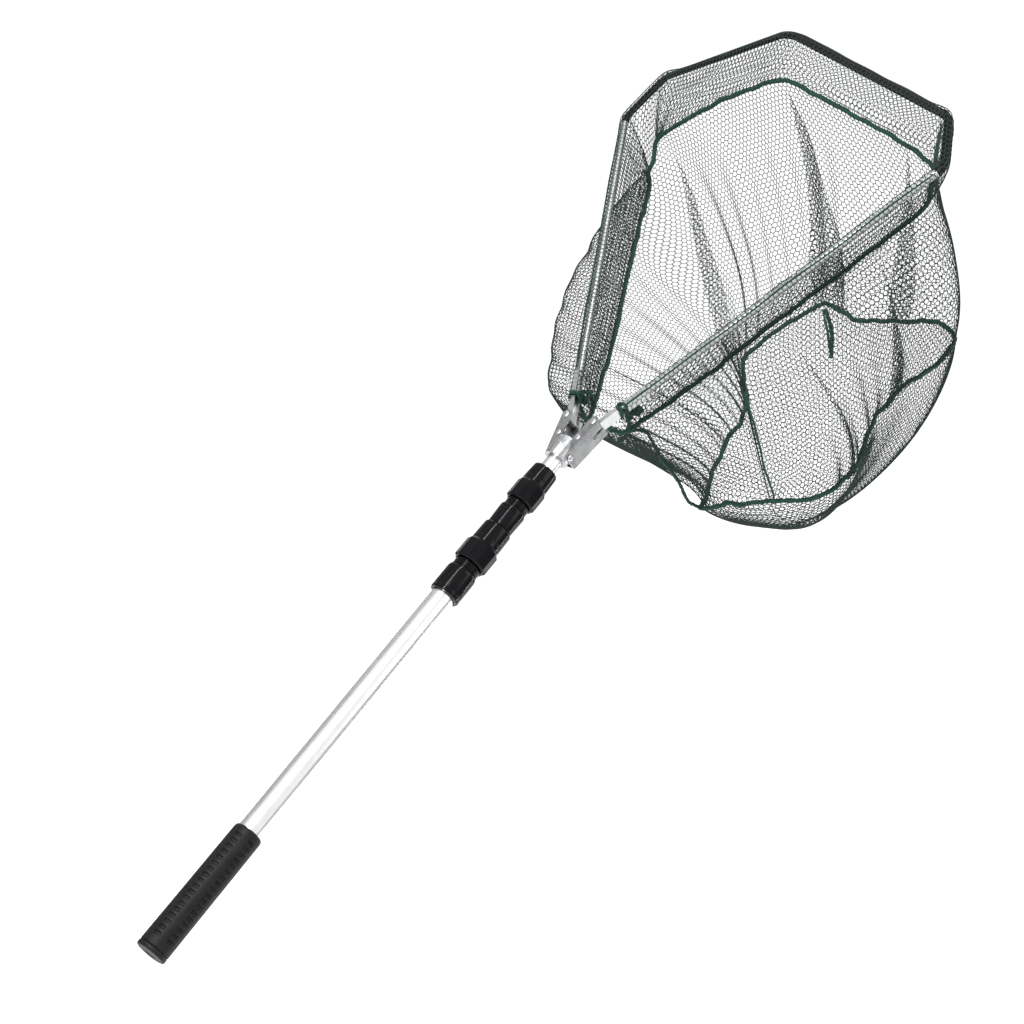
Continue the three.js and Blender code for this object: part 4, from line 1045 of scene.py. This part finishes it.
# ------------------------------------------------------------------ stage, light and camera
me = bpy.data.meshes.new("floor")
verts, faces = [(-40.0, -40.0, -0.62), (40.0, -40.0, -0.62), (40.0, 40.0, -0.62), (-40.0, 40.0, -0.62)], [(0, 1, 2, 3)]
me.from_pydata(verts, [], faces)
floor = bpy.data.objects.new("floor", me)
bpy.context.scene.collection.objects.link(floor)
fm = bpy.data.materials.new("pale_floor")
fm.use_nodes = True
nt = fm.node_tree
bs = nt.nodes["Principled BSDF"]
tc = nt.nodes.new("ShaderNodeTexCoord")
nz = nt.nodes.new("ShaderNodeTexNoise")
nz.inputs["Scale"].default_value = 3.0
nt.links.new(tc.outputs["Object"], nz.inputs["Vector"])
cr = nt.nodes.new("ShaderNodeValToRGB")
cr.color_ramp.elements[0].color = (0.90, 0.90, 0.90, 1)
cr.color_ramp.elements[1].color = (0.93, 0.93, 0.93, 1)
nt.links.new(nz.outputs[0], cr.inputs[0])
nt.links.new(cr.outputs[0], bs.inputs["Base Color"])
bs.inputs["Roughness"].default_value = 0.9
bs.inputs["Emission Color"].default_value = (1, 1, 1, 1)
bs.inputs["Emission Strength"].default_value = 0.16
me.materials.append(fm)

world = bpy.data.worlds.new("studio")
bpy.context.scene.world = world
world.use_nodes = True
bg = world.node_tree.nodes["Background"]
bg.inputs[0].default_value = (1, 1, 1, 1)
bg.inputs[1].default_value = 1.0


def area(name, loc, target, size, power, colour=(1, 1, 1), size_y=None):
    d = bpy.data.lights.new(name, "AREA")
    d.energy = power
    d.color = colour
    d.shape = "RECTANGLE"
    d.size = size
    d.size_y = size_y or size
    o = bpy.data.objects.new(name, d)
    bpy.context.scene.collection.objects.link(o)
    from mathutils import Vector
    o.location = loc
    o.rotation_mode = "QUATERNION"
    o.rotation_quaternion = (Vector(target) - Vector(loc)).to_track_quat("-Z", "Y")
    return o


area("key", (-1.4, -1.0, 2.6), (0.4, 0, 0.3), 1.4, 38)
area("fill", (1.6, -2.2, 1.2), (0.4, 0, 0.3), 1.6, 16)
area("rim", (1.2, 2.2, 2.0), (0.4, 0, 0.3), 1.2, 20)

# dark cards, seen only in reflections
card = bpy.data.materials.new("card")
card.use_nodes = True
cn = card.node_tree
cb = cn.nodes["Principled BSDF"]
ctc = cn.nodes.new("ShaderNodeTexCoord")
cnz = cn.nodes.new("ShaderNodeTexNoise")
cn.links.new(ctc.outputs["Object"], cnz.inputs["Vector"])
ccr = cn.nodes.new("ShaderNodeValToRGB")
ccr.color_ramp.elements[0].color = (0.24, 0.24, 0.245, 1)
ccr.color_ramp.elements[1].color = (0.30, 0.30, 0.305, 1)
cn.links.new(cnz.outputs[0], ccr.inputs[0])
cn.links.new(ccr.outputs[0], cb.inputs["Base Color"])
cb.inputs["Roughness"].default_value = 1.0


def flag(name, normal_angle, dist, width):
    """A long card beside the handle, parallel to it; normal_angle turns round the handle from its upper side."""
    a = math.radians(normal_angle)
    out = HX * math.cos(a) + HY * math.sin(a)
    side = -HX * math.sin(a) + HY * math.cos(a)
    c = np.array([0.25, 0, 0.18]) + out * dist
    m_ = bpy.data.meshes.new(name)
    q = [c - side * width / 2 - HZ * 1.6, c + side * width / 2 - HZ * 1.6, c + side * width / 2 + HZ * 1.6, c - side * width / 2 + HZ * 1.6]
    m_.from_pydata([tuple(x) for x in q], [], [(0, 1, 2, 3)])
    m_.materials.append(card)
    o = bpy.data.objects.new(name, m_)
    bpy.context.scene.collection.objects.link(o)
    o.visible_camera = False
    o.visible_diffuse = False
    o.visible_shadow = False
    o.visible_transmission = False


flag("card_left", -72, 1.6, 2.3)
flag("card_right", 124, 1.6, 1.0)
flag("card_low", 174, 1.6, 1.2)


def strip(name, normal_angle, dist, width, power):
    """A long thin light beside the handle and parallel to it, for the line of light on round pieces."""
    a = math.radians(normal_angle)
    out_ = HX * math.cos(a) + HY * math.sin(a)
    c = np.array([0.25, 0, 0.18]) + out_ * dist + HZ * 0.5
    d = bpy.data.lights.new(name, "AREA")
    d.energy = power
    d.shape = "RECTANGLE"
    d.size = width
    d.size_y = 3.0
    o = bpy.data.objects.new(name, d)
    bpy.context.scene.collection.objects.link(o)
    x = np.cross(HZ, out_)
    o.matrix_world = Matrix(((x[0], HZ[0], out_[0], c[0]), (x[1], HZ[1], out_[1], c[1]), (x[2], HZ[2], out_[2], c[2]), (0, 0, 0, 1)))
    o.visible_camera = False


strip("strip_upper", 12, 1.55, 0.07, 34)
strip("strip_lower", 149, 1.55, 0.05, 16)

cam_data = bpy.data.cameras.new("camera")
cam = bpy.data.objects.new("camera", cam_data)
bpy.context.scene.collection.objects.link(cam)
cam_data.sensor_width = 36
cam_data.lens = 92.7546
cam_data.clip_start = 0.05
cam_data.clip_end = 60
right = (0.728999785, -0.684513918, -0.0000960918)
down = (-0.203137398, -0.216205032, -0.954981980)
forward = (0.653677681, 0.696201178, -0.296663798)
m4 = Matrix(((right[0], -down[0], -forward[0], -1.302454), (right[1], -down[1], -forward[1], -1.805082), (right[2], -down[2], -forward[2], 1.051135), (0, 0, 0, 1)))
cam.matrix_world = m4
bpy.context.scene.camera = cam
bpy.context.scene.view_settings.view_transform = "Standard"
bpy.context.scene.view_settings.look = "None"
